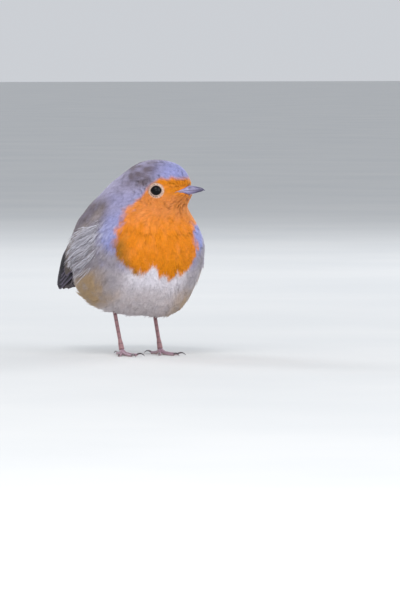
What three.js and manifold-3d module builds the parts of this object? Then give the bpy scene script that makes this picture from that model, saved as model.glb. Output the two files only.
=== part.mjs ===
// European robin (Erithacus rubecula) at life size, standing at rest with its plumage fluffed and its head turned
// to its left. Units are millimetres, +Z is up, the bird faces -Y and its left side is +X. It stands on z = 0,
// and the origin is under the middle of its bounding box.

import * as THREE from "three";
import { mergeVertices } from "three/addons/utils/BufferGeometryUtils.js";
import Module from "manifold-3d";

const wasm = await Module();
wasm.setup();

const { degToRad, clamp, smoothstep, lerp } = THREE.MathUtils;
const vec = (x, y, z) => new THREE.Vector3(x, y, z);

// ---------- Driving sizes ----------

const GAP = 0.3; // clearance between neighbouring solids

// The coat's outer surface is a soft union of egg shapes. "at" is an egg's middle, "half" its half-lengths across,
// along and through the body, "pitch" lifts its front end and "yaw" turns that end to the bird's left, in degrees.
const COAT_FORMS = {
  trunk: { at: [0, 7, 47], half: [26.5, 31, 25.5], pitch: 40 },
  breast: { at: [0.5, -7, 48], half: [26, 18.5, 22] },
  belly: { at: [0, 4.5, 39], half: [27, 24, 18] },
  thigh: { at: [10.5, 1, 30.5], half: [12, 14, 12] },
  flank: { at: [-13, 11.5, 34.5], half: [11.5, 13, 11] },
  mantle: { at: [-1, 9, 59.5], half: [21.5, 20.5, 15], pitch: 30 },
  neck: { at: [-1.5, -3.5, 65.5], half: [19.5, 17.5, 17], yaw: 20 },
  rump: { at: [-0.5, 25, 53.5], half: [20, 25, 12], pitch: 34, yaw: -4 },
  vent: { at: [-0.5, 26, 43], half: [16, 19, 10], pitch: 34, yaw: -4 },
};
const BLEND = 2.2; // how softly the eggs run into each other

// The head's eggs, placed from the middle of the head and turned with it.
const HEAD = { at: vec(1.2, -12, 74), yaw: 44 };
const HEAD_FORMS = {
  skull: { ahead: 0, up: 0, half: [14.2, 15.6, 14.6] },
  brow: { ahead: 8, up: 5.2, half: [7.5, 7, 7] },
  muzzle: { ahead: 11.2, up: 0.9, half: [5, 6.2, 3.6] },
};

// Thin cuts between head, neck, trunk and rump: a point on each cut and the way it faces.
const HEAD_CUT = { at: vec(1, -9, 67), facing: vec(0.12, -0.34, 0.93) };
const NECK_CUT = { at: vec(0.5, -3, 57), facing: vec(0, -0.36, 0.93) };
const RUMP_CUT = { at: vec(0, 24, 54), facing: vec(0, 0.86, -0.5) };

const EYE = { radius: 3, side: 13, ahead: 6.4, up: 1.4, sunk: 1.6 };

const BILL = {
  root: 11.5, // distance ahead of the head's middle where the horn starts, under the feathers
  tip: 24.9,
  mouth: [1.0, 1.7], // height of the mouth line at root and tip
  halfWidth: [[0, 2.9], [0.5, 2.0], [0.8, 0.95], [1, 0.28]],
  above: [[0, 2.7], [0.45, 2.65], [0.8, 1.3], [1, 0.25]],
  below: [[0, 1.4], [0.45, 1.25], [0.8, 0.75], [1, 0.22]],
};

// The folded wing lies along a curve from the bend of the wing to the tips of the secondaries, pressed to the coat.
const WING = {
  line: [[22, -13.5, 59], [24.6, 1, 56], [24.6, 14, 51.2], [22.4, 27, 46], [20.4, 38.5, 41.7]],
  halfDepth: [[0, 1.5], [0.07, 6], [0.2, 9.4], [0.5, 10.6], [0.76, 8], [1, 5]],
  halfThickness: [[0, 0.5], [0.07, 1.2], [0.25, 1.7], [0.65, 1.6], [1, 0.9]],
  level: -0.4, // where its middle lies, from the coat's surface
  loose: [0.5, 0.95], // between these shares of its length it leaves the coat
};

// The long outer flight feathers show past the secondaries as a stack of narrow blades.
const PRIMARIES = {
  count: 4,
  root: [20.9, 35.5, 43],
  aim: [-0.09, 0.89, -0.45],
  face: [0.9, 0.25, 0.35],
  length: 20,
  width: 8.8,
  thickness: 0.7,
  step: 1.3, // each blade starts this much further back than the one over it,
  under: 0.3, // this much under it,
  drop: 0.35, // and this much lower
};

const TAIL = {
  root: [-1, 32, 58.5],
  slope: 35.5, // degrees below level
  yaw: 11, // degrees towards the bird's right
  feathers: 12,
  length: 49,
  width: 7.6,
  spread: 5.5, // degrees over the whole fan
  rootWidth: 1.6,
  thickness: 0.62,
  sag: 0.3, // each feather lies this much under the one nearer the middle
  notch: 0.9, // how much shorter the middle pair is
  corner: 1.1, // how much shorter the outermost feathers are
};

const STANCE = 9.5; // half the distance between the feet
const SHANK = {
  foot: [0, 0, 2.5],
  heel: [0.4, 10.6, 25.8],
  halfWidth: [[0, 1.35], [0.09, 1.2], [0.2, 0.85], [0.75, 0.85], [1, 1.3]],
  halfDepth: [[0, 1.45], [0.09, 1.3], [0.2, 1.05], [0.75, 1.0], [1, 1.4]],
};

// Toes by name: heading in degrees from straight ahead towards the outer side, length and claw length.
const TOES = {
  middle: { heading: 4, length: 13.4, claw: 5.0, girth: 0.92 },
  inner: { heading: -26, length: 9.2, claw: 4.1, girth: 0.84 },
  outer: { heading: 30, length: 10.2, claw: 4.0, girth: 0.82 },
  hind: { heading: 188, length: 7.8, claw: 6.0, girth: 0.92 },
};
const TOE_FLAT = 0.13; // depth of the flat that each toe is worn to, where it meets the floor
const TOE_TAPER = 0.72; // girth at the claw, as a share of the girth at the root

const FINISHES = {
  back: { color: 0x7b7361, roughness: 0.9 },
  breast: { color: 0xd9782a, roughness: 0.9 },
  belly: { color: 0xb9b2ae, roughness: 0.9 },
  wing: { color: 0x6a5c4c, roughness: 0.8 },
  tail: { color: 0x4f4338, roughness: 0.8 },
  bill: { color: 0x4a4a58, roughness: 0.4 },
  eye: { color: 0x0c0a0a, roughness: 0.05 },
  leg: { color: 0x9a6a66, roughness: 0.55 },
  claw: { color: 0x3a3034, roughness: 0.4 },
};

// ---------- Making and cutting solids ----------

// A closed geometry as a manifold-3d solid whose faces point out.
function solid(geometry) {
  const bare = geometry.index ? geometry.toNonIndexed() : geometry.clone();
  bare.deleteAttribute("normal");
  bare.deleteAttribute("uv");
  const merged = mergeVertices(bare, 1e-4);
  const corners = [];
  for (let i = 0; i < merged.index.count; i += 3) {
    const [a, b, c] = [0, 1, 2].map((k) => merged.index.getX(i + k));
    if (a !== b && b !== c && c !== a) corners.push(a, b, c);
  }
  const build = (triVerts) =>
    new wasm.Manifold(
      new wasm.Mesh({
        numProp: 3,
        vertProperties: merged.attributes.position.array,
        triVerts: new Uint32Array(triVerts),
      }),
    );
  const made = build(corners);
  return made.volume() < 0 ? build(corners.reverse()) : made;
}

// A solid as a named mesh in its own finish.
function part(name, body, finish) {
  const { numVert, numProp, vertProperties, triVerts } = body.getMesh();
  const places = new Float32Array(numVert * 3);
  for (let i = 0; i < numVert; i++) places.set(vertProperties.subarray(i * numProp, i * numProp + 3), i * 3);
  const geometry = new THREE.BufferGeometry();
  geometry.setAttribute("position", new THREE.BufferAttribute(places, 3));
  geometry.setIndex(new THREE.BufferAttribute(triVerts, 1));
  geometry.computeVertexNormals();
  const mesh = new THREE.Mesh(geometry, new THREE.MeshStandardMaterial({ metalness: 0, ...FINISHES[finish] }));
  mesh.name = name;
  return mesh;
}

// The two sides of a thin cut: what lies ahead of it, and what lies behind.
function ahead(body, { at, facing }) {
  const way = facing.clone().normalize();
  return body.trimByPlane(way.toArray(), way.dot(at) + GAP / 2);
}

function behind(body, { at, facing }) {
  return ahead(body, { at, facing: facing.clone().negate() });
}

// Takes a list of solids away from a body.
const without = (body, ...others) => others.reduce((rest, other) => rest.subtract(other), body);

// The largest piece of a body, without slivers that a cut has left.
function largest(body) {
  return body.decompose().sort((a, b) => b.volume() - a.volume())[0];
}

// A value that runs smoothly through stations, each a place from 0 to 1 and the value there.
function through(stations, t) {
  let i = 1;
  while (i < stations.length - 1 && t > stations[i][0]) i++;
  const [[a, low], [b, high]] = [stations[i - 1], stations[i]];
  return lerp(low, high, smoothstep(t, a, b));
}

// A closed body drawn along a curve. "out" gives the way its z side faces, and section(t) its half-width, its
// half-depth towards and away from that side, and how far its edges bend back.
function sweep(curve, out, sides, steps, section) {
  const shape = new THREE.CylinderGeometry(1, 1, 1, sides, steps);
  const place = shape.attributes.position;
  for (let i = 0; i < place.count; i++) {
    const [x, y, z] = [place.getX(i), place.getY(i), place.getZ(i)];
    const t = clamp(0.5 - y, 0, 1);
    const along = curve.getTangent(t);
    const side = along.clone().cross(out).normalize();
    const up = side.clone().cross(along).normalize();
    const { wide, high, low = high, bend = 0 } = section(t);
    const point = curve
      .getPoint(t)
      .addScaledVector(side, x * wide)
      .addScaledVector(up, z * (z > 0 ? high : low) - bend * x * x);
    place.setXYZ(i, point.x, point.y, point.z);
  }
  return solid(shape);
}

// ---------- The coat: head, neck, trunk and rump ----------

// An egg shape, with the signed distance to its surface, roughly.
function egg({ at, half, pitch = 0, yaw = 0 }) {
  const middle = vec(...at);
  const turn = new THREE.Quaternion().setFromEuler(new THREE.Euler(degToRad(-pitch), 0, degToRad(yaw), "ZXY"));
  const back = turn.clone().invert();
  const size = vec(...half);
  return (point) => {
    const unit = point.clone().sub(middle).applyQuaternion(back).divide(size);
    const far = unit.length();
    return (far * (far - 1)) / Math.max(unit.divide(size).length(), 1e-9);
  };
}

const headFrame = new THREE.Matrix4().makeRotationZ(degToRad(HEAD.yaw)).setPosition(HEAD.at);
const inHead = (x, y, z) => vec(x, y, z).applyMatrix4(headFrame);

const headForms = Object.values(HEAD_FORMS).map(({ ahead: far, up, half }) => ({
  at: inHead(0, -far, up).toArray(),
  half,
  yaw: HEAD.yaw,
}));
const eggs = [...Object.values(COAT_FORMS), ...headForms].map(egg);

// Signed distance to the coat's outer surface: a soft least of the eggs' distances.
function coat(point) {
  const sum = eggs.reduce((total, distance) => total + Math.exp(-distance(point) / BLEND), 0);
  return -BLEND * Math.log(sum);
}

// The way out of the coat at a point.
function outOfCoat(point) {
  const step = 0.05;
  const slope = (x, y, z) => coat(point.clone().add(vec(x, y, z))) - coat(point.clone().sub(vec(x, y, z)));
  return vec(slope(step, 0, 0), slope(0, step, 0), slope(0, 0, step)).normalize();
}

// A point moved straight in or out, all or part of the way, to a level above the coat's surface.
function settled(point, level, share = 1) {
  for (let k = 0; k < 4; k++) point.addScaledVector(outOfCoat(point), share * (level - coat(point)));
  return point;
}

// A ball of even triangles drawn out from its middle to the coat.
function coatFrom(middle, detail) {
  const ball = new THREE.IcosahedronGeometry(1, detail);
  const place = ball.attributes.position;
  const way = vec(0, 0, 0);
  for (let i = 0; i < place.count; i++) {
    way.fromBufferAttribute(place, i).normalize();
    const at = (far) => coat(middle.clone().addScaledVector(way, far));
    let outside = 75;
    while (at(outside) > 0) outside -= 1;
    let inside = outside;
    outside += 1;
    for (let k = 0; k < 16; k++) {
      const half = (inside + outside) / 2;
      if (at(half) > 0) outside = half;
      else inside = half;
    }
    way.multiplyScalar(inside).add(middle);
    place.setXYZ(i, way.x, way.y, way.z);
  }
  return solid(ball);
}

// ---------- Wings and tail ----------

// A long flat feather with a rounded tip, lying along +Y with its face up, from its root at the origin.
function blade(length, width, thickness) {
  const outline = new THREE.Shape()
    .moveTo(-width * 0.28, 0)
    .lineTo(-width / 2, length * 0.45)
    .lineTo(-width / 2, length - width * 0.55)
    .quadraticCurveTo(-width / 2, length, 0, length)
    .quadraticCurveTo(width / 2, length, width / 2, length - width * 0.55)
    .lineTo(width / 2, length * 0.45)
    .lineTo(width * 0.28, 0);
  const plate = new THREE.ExtrudeGeometry(outline, { depth: thickness, bevelEnabled: false, curveSegments: 2 });
  return plate.translate(0, 0, -thickness / 2);
}

// The matrix that lays a feather's root at a place, its length along "aim" and its face towards "face".
function laid(root, aim, face) {
  const along = aim.clone().normalize();
  const side = along.clone().cross(face).normalize();
  return new THREE.Matrix4().makeBasis(side, along, side.clone().cross(along)).setPosition(root);
}

// A folded wing, or the hollow that it needs in the coat when it is grown by a margin.
function wingBody(side, grown = 0) {
  const curve = new THREE.CatmullRomCurve3(WING.line.map(([x, y, z]) => vec(side * x, y, z)));
  const outward = vec(side, 0, 0.12).normalize();
  const shape = new THREE.CylinderGeometry(1, 1, 1, 12, 12);
  const place = shape.attributes.position;
  for (let i = 0; i < place.count; i++) {
    const t = clamp(0.5 - place.getY(i), 0, 1);
    const along = curve.getTangent(t);
    const point = curve.getPoint(t).addScaledVector(along, (2 * t - 1) * grown);
    const across = along.cross(outward).normalize();
    point.addScaledVector(across, place.getX(i) * (through(WING.halfDepth, t) + grown));
    const hold = 1 - smoothstep(t, ...WING.loose);
    settled(point, WING.level, hold);
    const up = outward.clone().lerp(outOfCoat(point), hold).normalize();
    point.addScaledVector(up, place.getZ(i) * (through(WING.halfThickness, t) + grown));
    place.setXYZ(i, ...point.toArray());
  }
  return solid(shape);
}

// The stack of long flight feathers behind a wing.
function primaries(side, grown = 0) {
  const { count, length, width, thickness, step, under, drop } = PRIMARIES;
  const onSide = ([x, y, z]) => vec(side * x, y, z);
  const aim = onSide(PRIMARIES.aim).normalize();
  const face = onSide(PRIMARIES.face);
  const blades = [];
  for (let i = 0; i < count; i++) {
    const shape = blade(length + grown, width + 2 * grown, thickness + 2 * grown);
    const root = onSide(PRIMARIES.root)
      .addScaledVector(aim, i * step - grown)
      .addScaledVector(face, -i * under)
      .add(vec(0, 0, -i * drop));
    blades.push(solid(shape.applyMatrix4(laid(root, aim, face))));
  }
  return wasm.Manifold.union(blades);
}

// The closed tail: flat feathers that fan a little, the middle pair on top.
function tailBody(grown = 0) {
  const { feathers, length, width, spread, rootWidth, thickness, sag, notch, corner } = TAIL;
  const turn = new THREE.Euler(degToRad(-TAIL.slope), 0, degToRad(TAIL.yaw), "ZXY");
  const fan = new THREE.Matrix4().makeRotationFromEuler(turn).setPosition(vec(...TAIL.root));
  const blades = [];
  for (let i = 0; i < feathers; i++) {
    const out = i / (feathers - 1) - 0.5; // from -0.5 at one edge to 0.5 at the other
    const rank = Math.abs(i - (feathers - 1) / 2) - 0.5; // 0 for the middle pair
    const reach = length - corner * smoothstep(rank, 2, 5) - notch * (rank < 1);
    const shape = blade(reach + grown, width + 2 * grown, thickness + 2 * grown)
      .rotateZ(degToRad(-out * spread))
      .translate(out * rootWidth, 0, -rank * sag)
      .applyMatrix4(fan);
    blades.push(solid(shape));
  }
  return wasm.Manifold.union(blades);
}

// ---------- Bill and eyes ----------

function billBody(grown = 0) {
  const [low, high] = BILL.mouth;
  const curve = new THREE.LineCurve3(inHead(0, -BILL.root + grown, low), inHead(0, -BILL.tip - grown, high));
  return sweep(curve, vec(0, 0, 1), 12, 8, (t) => ({
    wide: through(BILL.halfWidth, t) + grown,
    high: through(BILL.above, t) + grown,
    low: through(BILL.below, t) + grown,
  }));
}

const mouthLine = (() => {
  const [low, high] = BILL.mouth;
  const from = inHead(0, -BILL.root, low);
  const along = inHead(0, -BILL.tip, high).sub(from);
  return { at: from, facing: inHead(1, 0, 0).sub(inHead(0, 0, 0)).cross(along).negate() };
})();

function eyeBody(side, grown = 0) {
  const middle = settled(inHead(side * EYE.side, -EYE.ahead, EYE.up), -EYE.sunk);
  const ball = new THREE.SphereGeometry(EYE.radius + grown, 14, 8);
  return solid(ball.translate(...middle.toArray()));
}

// ---------- Legs ----------

function shankBody(side, grown = 0) {
  const end = ([x, y, z]) => vec(side * (STANCE + x), y, z);
  const curve = new THREE.LineCurve3(end(SHANK.foot), end(SHANK.heel));
  return sweep(curve, vec(0, -1, 0), 8, 8, (t) => ({
    wide: through(SHANK.halfWidth, t) + grown,
    high: through(SHANK.halfDepth, t) + grown,
  }));
}

const floorLevel = { at: vec(0, 0, -GAP / 2), facing: vec(0, 0, 1) };

// A toe from under the shank to the root of its claw, worn flat where it rests on the floor.
function toeBody(side, { heading, length, girth }, grown = 0) {
  const turn = degToRad(heading);
  const point = (far, z) => vec(side * (STANCE + Math.sin(turn) * far), -Math.cos(turn) * far, z);
  const thick = (t) => girth * lerp(1, TOE_TAPER, t);
  const curve = new THREE.CatmullRomCurve3([
    point(0.4, 2.4),
    point(length * 0.25, thick(1 / 3) + 0.1),
    point(length * 0.55, thick(2 / 3) - TOE_FLAT),
    point(length, thick(1) - TOE_FLAT),
  ]);
  const body = sweep(curve, vec(0, 0, 1), 7, 5, (t) => ({ wide: thick(t) + grown, high: thick(t) + grown }));
  return ahead(body, floorLevel);
}

// A curved claw whose point comes down almost to the floor.
function clawBody(side, { heading, length, claw, girth }) {
  const turn = degToRad(heading);
  const point = (far, z) => vec(side * (STANCE + Math.sin(turn) * far), -Math.cos(turn) * far, z);
  const root = length + GAP;
  const curve = new THREE.QuadraticBezierCurve3(
    point(root, girth * TOE_TAPER * 0.9),
    point(root + claw * 0.62, girth + 0.95),
    point(root + claw, 0.16),
  );
  return sweep(curve, vec(0, 0, 1), 6, 4, (t) => ({
    wide: lerp(girth * 0.52, 0.12, t),
    high: lerp(girth * 0.6, 0.13, t),
  }));
}

// ---------- Putting the bird together ----------

const bird = new THREE.Group();
const SIDES = { left: 1, right: -1 };
const sideValues = Object.values(SIDES);

const shanks = Object.fromEntries(Object.entries(SIDES).map(([name, side]) => [name, shankBody(side)]));
const legSockets = sideValues.map((side) => shankBody(side, GAP));
const wingBeds = sideValues.flatMap((side) => [wingBody(side, GAP), primaries(side, GAP)]);
const tailBed = tailBody(GAP);

const body = without(coatFrom(vec(0, 4, 44), 7), ...wingBeds, ...legSockets, tailBed);
const skull = coatFrom(HEAD.at, 7);
const face = without(skull, billBody(GAP), ...sideValues.map((side) => eyeBody(side, GAP)));

bird.add(part("head", largest(ahead(face, HEAD_CUT)), "back"));
bird.add(part("neck", largest(ahead(behind(body, HEAD_CUT), NECK_CUT)), "breast"));
bird.add(part("trunk", largest(behind(behind(body, NECK_CUT), RUMP_CUT)), "belly"));
bird.add(part("rump", largest(ahead(behind(body, NECK_CUT), RUMP_CUT)), "back"));
bird.add(part("tail", tailBody(), "tail"));
bird.add(part("bill_upper", ahead(billBody(), mouthLine), "bill"));
bird.add(part("bill_lower", behind(billBody(), mouthLine), "bill"));

for (const [name, side] of Object.entries(SIDES)) {
  bird.add(part(`eye_${name}`, eyeBody(side), "eye"));
  bird.add(part(`wing_${name}`, largest(without(wingBody(side), primaries(side, GAP))), "wing"));
  bird.add(part(`primaries_${name}`, largest(without(primaries(side), tailBed)), "wing"));
  bird.add(part(`shank_${name}`, shanks[name], "leg"));
  let taken = shankBody(side, GAP);
  for (const [toe, sizes] of Object.entries(TOES)) {
    bird.add(part(`toe_${name}_${toe}`, largest(toeBody(side, sizes).subtract(taken)), "leg"));
    bird.add(part(`claw_${name}_${toe}`, clawBody(side, sizes), "claw"));
    taken = taken.add(toeBody(side, sizes, GAP));
  }
}

// The origin is under the middle of the bird.
const box = new THREE.Box3().setFromObject(bird, true);
const middle = box.getCenter(vec(0, 0, 0));
bird.position.set(-middle.x, -middle.y, -box.min.z);

export default bird;
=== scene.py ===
"""A robin at life size, standing with its plumage fluffed and its head turned to its left.

Shapes are worked out in the bird's own millimetres: the bird faces -Y, its left is +X, and the
middle between its feet is the origin. They are brought into the frame's metres when a mesh is
written. A soft union of egg shapes is the outer surface of the coat. The skin lies under it by the
coat's depth, and every feather grows from the skin and lies along that surface, following the lie
of the plumage from the bill back to the tail.
"""

from __future__ import annotations

import logging
import math
from dataclasses import dataclass, field, replace
from enum import Enum
from typing import Any, Callable, Iterable, Sequence

import bpy
import numpy as np
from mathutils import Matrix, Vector

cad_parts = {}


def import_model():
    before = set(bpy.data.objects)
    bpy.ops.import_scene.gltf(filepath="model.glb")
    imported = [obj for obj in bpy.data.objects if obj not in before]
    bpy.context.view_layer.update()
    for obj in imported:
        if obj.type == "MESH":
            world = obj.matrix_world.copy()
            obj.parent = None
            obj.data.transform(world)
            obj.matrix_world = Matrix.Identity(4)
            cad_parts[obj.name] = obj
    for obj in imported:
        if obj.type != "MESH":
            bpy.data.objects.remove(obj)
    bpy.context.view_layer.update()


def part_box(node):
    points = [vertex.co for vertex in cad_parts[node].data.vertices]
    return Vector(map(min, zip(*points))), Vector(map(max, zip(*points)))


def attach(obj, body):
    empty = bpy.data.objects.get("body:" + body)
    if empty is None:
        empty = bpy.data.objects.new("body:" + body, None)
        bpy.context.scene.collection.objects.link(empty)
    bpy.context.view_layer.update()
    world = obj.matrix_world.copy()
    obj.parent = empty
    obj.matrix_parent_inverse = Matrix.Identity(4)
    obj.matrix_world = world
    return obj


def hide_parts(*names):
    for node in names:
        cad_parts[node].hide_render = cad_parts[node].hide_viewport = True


log = logging.getLogger("robin")
Array = np.ndarray

BODY = "root"
MM = 0.001
SEED = 7321
PATCH = 0.003  # how wide a tuft's patch is in the baking map


# ---------- Arithmetic on arrays ----------


def smooth(low: float, high: float, value: Array | float) -> Array:
    """A soft step from 0 at low to 1 at high."""
    t = np.clip((np.asarray(value, float) - low) / (high - low), 0.0, 1.0)
    return t * t * (3.0 - 2.0 * t)


def bell(value: Array, middle: float, width: float) -> Array:
    """A soft bump of height 1 about a middle."""
    return np.exp(-(((value - middle) / width) ** 2))


def unit(vectors: Array) -> Array:
    """Vectors made one long."""
    return vectors / np.maximum(np.linalg.norm(vectors, axis=-1, keepdims=True), 1e-9)


def across(vectors: Array, normals: Array) -> Array:
    """The part of vectors that lies in the surface, made one long."""
    return unit(vectors - normals * np.sum(vectors * normals, axis=-1, keepdims=True))


def through(stations: Sequence[tuple[float, float]], t: Array | float) -> Array:
    """A value that runs smoothly through stations, each a place and the value there.

    Args:
        stations: Pairs of a place and the value there, in order.
        t: Where the value is wanted.

    Returns:
        The values.
    """
    t = np.asarray(t, float)
    out = np.full(t.shape, float(stations[0][1]))
    for (a, low), (b, high) in zip(stations, stations[1:]):
        out = np.where(t > a, low + (high - low) * smooth(a, b, t), out)
    return out


def rotation(pitch: float, yaw: float) -> Array:
    """The turn of an egg or the tail: first lifted, then swung.

    Args:
        pitch: How far its front is lifted, in degrees.
        yaw: How far it is swung to the bird's left, in degrees.

    Returns:
        The matrix of the turn.
    """
    p, y = math.radians(-pitch), math.radians(yaw)
    lift = np.array([[1, 0, 0], [0, math.cos(p), -math.sin(p)], [0, math.sin(p), math.cos(p)]])
    swing = np.array([[math.cos(y), -math.sin(y), 0], [math.sin(y), math.cos(y), 0], [0, 0, 1]])
    return swing @ lift


def linear(red: int, green: int, blue: int) -> Array:
    """A colour given as on a screen, 0 to 255, as the linear values that a shader wants."""
    c = np.array([red, green, blue]) / 255.0
    return np.where(c <= 0.04045, c / 12.92, ((c + 0.055) / 1.055) ** 2.4)


def mix(a: Array, b: Array, share: Array) -> Array:
    """Colours a and b mixed, b by its share at each point."""
    return a + (b - a) * np.asarray(share)[..., None]


def laid(colour: Array, tone: Array, share: Array) -> Array:
    """A tone laid over a colour by a share, which is kept from 0 to 1."""
    return mix(colour, tone, np.clip(share, 0, 1))


class Grain:
    """Smooth random values in space, made of a few waves in random directions."""

    def __init__(self, size: float, seed: int, waves: int = 14) -> None:
        """Draws the waves. Size is about the width of one blotch, in millimetres.

        Args:
            size: About the width of one blotch, in millimetres.
            seed: Starts the random numbers.
            waves: How many waves are summed.
        """
        rng = np.random.default_rng(seed)
        ways = unit(rng.normal(size=(waves, 3)))
        self.ways = ways * rng.uniform(0.6, 1.5, (waves, 1)) * math.pi / size
        self.starts = rng.uniform(0, 2 * math.pi, waves)

    def __call__(self, points: Array) -> Array:
        """Values of about -1 to 1 at points."""
        total = np.sin(points @ self.ways.T + self.starts).sum(-1)
        return total / math.sqrt(len(self.starts) / 2) / 1.6


# ---------- The shape of the plumage ----------


@dataclass(frozen=True)
class Egg:
    """One of the forms that the coat is blended from, in millimetres and degrees."""

    at: tuple[float, float, float]
    half: tuple[float, float, float]
    pitch: float = 0.0
    yaw: float = 0.0

    def probe(self, points: Array) -> tuple[Array, Array]:
        """How far points are outside the egg, roughly, and the way out of it.

        Args:
            points: Places, in the bird's own millimetres.

        Returns:
            How far each is outside, and the way out.
        """
        turn = rotation(self.pitch, self.yaw)
        size = np.array(self.half)
        scaled = (points - np.array(self.at)) @ turn / size
        far = np.linalg.norm(scaled, axis=-1)
        slope = scaled / size
        steep = np.maximum(np.linalg.norm(slope, axis=-1), 1e-9)
        return far * (far - 1.0) / steep, (slope / steep[..., None]) @ turn.T


@dataclass(frozen=True)
class HeadPlace:
    """Where the head's middle is, and how far the head is turned to the bird's left."""

    at: tuple[float, float, float] = (1.2, -12.0, 74.0)
    yaw: float = 44.0

    def out(self, side: Array | float, ahead: Array | float, up: Array | float) -> Array:
        """Places given from the head's middle, towards its left, its front and its top."""
        local = np.stack(np.broadcast_arrays(side, -np.asarray(ahead, float), up), axis=-1)
        return local @ rotation(0, self.yaw).T + np.array(self.at)

    def within(self, points: Array) -> tuple[Array, Array, Array]:
        """How far points are to the head's left, ahead of its middle and above it."""
        local = (points - np.array(self.at)) @ rotation(0, self.yaw)
        return local[..., 0], -local[..., 1], local[..., 2]


HEAD = HeadPlace()


OUTSIDE = 75.0  # how far a ray's start is from its middle, beyond any part of the coat
CAST_ROUNDS, CAST_PACE = 34, 0.7  # how often and how boldly a ray's place is corrected


@dataclass
class Coat:
    """The outer surface of the plumage."""

    blend: float = 2.2
    lores: Array = field(
        default_factory=lambda: np.array([HEAD.out(side * 7.8, 13.6, 0.6) for side in (1, -1)])
    )
    lore_depth: float = 2.4  # how deep the hollow between eye and bill is
    lore_size: float = 4.6
    eggs: list[Egg] = field(
        default_factory=lambda: [
            Egg((0, 7, 47), (26.5, 31, 25.5), 40),
            Egg((0.5, -7, 48), (26, 18.5, 22)),
            Egg((0, 4.5, 39), (27, 24, 18)),
            Egg((10.5, 1, 30.5), (12, 14, 12)),
            Egg((-13, 11.5, 34.5), (11.5, 13, 11)),
            Egg((-1, 9, 59.5), (21.5, 20.5, 15), 30),
            Egg((-1.5, -3.5, 65.5), (19.5, 17.5, 17), 0, 20),
            Egg((-0.5, 25, 53.5), (20, 25, 12), 34, -4),
            Egg((-0.5, 26, 43), (16, 19, 10), 34, -4),
            Egg(tuple(HEAD.out(0, 0, 0)), (14.2, 15.6, 14.6), 0, HEAD.yaw),
            Egg(tuple(HEAD.out(0, 8, 5.2)), (7.5, 7, 7), 0, HEAD.yaw),
            Egg(tuple(HEAD.out(0, 11.2, 0.9)), (5, 6.2, 3.6), 0, HEAD.yaw),
        ]
    )

    def probe(self, points: Array) -> tuple[Array, Array]:
        """How far points are outside the coat, and the way out of it.

        Args:
            points: Places, in the bird's own millimetres.

        Returns:
            How far each is outside, negative inside, and the way out.
        """
        total, way = 0.0, 0.0
        dent = 0.0
        for middle in self.lores:
            near = np.exp(-np.sum((points - middle) ** 2, -1) / self.lore_size**2)
            dent = dent + self.lore_depth * near
        for egg in self.eggs:
            far, out = egg.probe(points)
            weight = np.exp(-far / self.blend)
            total = total + weight
            way = way + weight[..., None] * out
        return dent - self.blend * np.log(np.maximum(total, 1e-300)), unit(way)

    def settle(
        self, points: Array, level: Array | float, rounds: int = 3, share: Array | float = 1.0
    ) -> Array:
        """Points moved straight in or out to a level above the coat's surface.

        Args:
            points: The places to move.
            level: How far above the surface they are to lie.
            rounds: How often they are moved.
            share: How much of the way they move each time.

        Returns:
            The moved places.
        """
        for _ in range(rounds):
            far, out = self.probe(points)
            points = points + out * ((level - far) * share)[..., None]
        return points

    def cast(self, middle: Array, ways: Array, sunk: Callable[[Array], Array]) -> Array:
        """Where rays from a middle last leave a surface that lies sunk under the coat.

        Args:
            middle: Where the rays start.
            ways: Their directions.
            sunk: Gives how deep the surface lies at places.

        Returns:
            One place for each ray.
        """

        def over(far: Array) -> Array:
            """How far places so far along the rays are outside the surface.

            Args:
                far: How far along each ray.

            Returns:
                The distances, negative inside.
            """
            points = middle + ways * far[:, None]
            return self.probe(points)[0] + sunk(points)

        far = np.full(len(ways), OUTSIDE)
        for _ in range(CAST_ROUNDS):
            far = far - CAST_PACE * over(far)
        return middle + ways * far[:, None]


COAT = Coat()
EYE_RADIUS = 3.0
EYE_SUNK = 1.6  # how far the eyes' middles lie under the coat's surface
EYE_AHEAD, EYE_UP = 6.4, 1.4
EYE_MIDDLES = {
    side: COAT.settle(HEAD.out(side * 13.0, EYE_AHEAD, EYE_UP)[None], -EYE_SUNK, 4)[0]
    for side in (1, -1)
}
TRUNK_MIDDLE = np.array([0.0, 4.0, 44.0])
GAPE = 12.2  # how far ahead the corner of the mouth is
CULMEN = 17.4  # how far ahead the bill leaves the forehead


def eye_distance(points: Array) -> Array:
    """How far points are from the nearer eye's middle."""
    return np.minimum(*(np.linalg.norm(points - middle, axis=-1) for middle in EYE_MIDDLES.values()))


def mouth_height(ahead: Array) -> Array:
    """How high the line of the mouth is above the head's middle."""
    return 0.8 + 0.06 * (ahead - 11.5) - 0.6 * smooth(15.5, 12.0, ahead)


def bare_bill(points: Array) -> Array:
    """Where the sides of the bill are bare: 1 ahead of the mouth's corner, 0 under the feathers.

    Args:
        points: Places, in the bird's own millimetres.

    Returns:
        Shares from 0 to 1.
    """
    side, ahead, up = HEAD.within(points)
    over = up - mouth_height(ahead)
    top = 0.1 + 2.35 * np.clip((ahead - GAPE) / (CULMEN + 0.3 - GAPE), 0, 1) ** 1.5
    low = 0.1 + 1.35 * np.clip((ahead - GAPE) / (CULMEN - 0.6 - GAPE), 0, 1) ** 1.5
    span = smooth(GAPE - 0.5, GAPE + 0.5, ahead)
    return span * smooth(top + 0.25, top - 0.25, over) * smooth(-low - 0.25, -low + 0.25, over)


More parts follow.
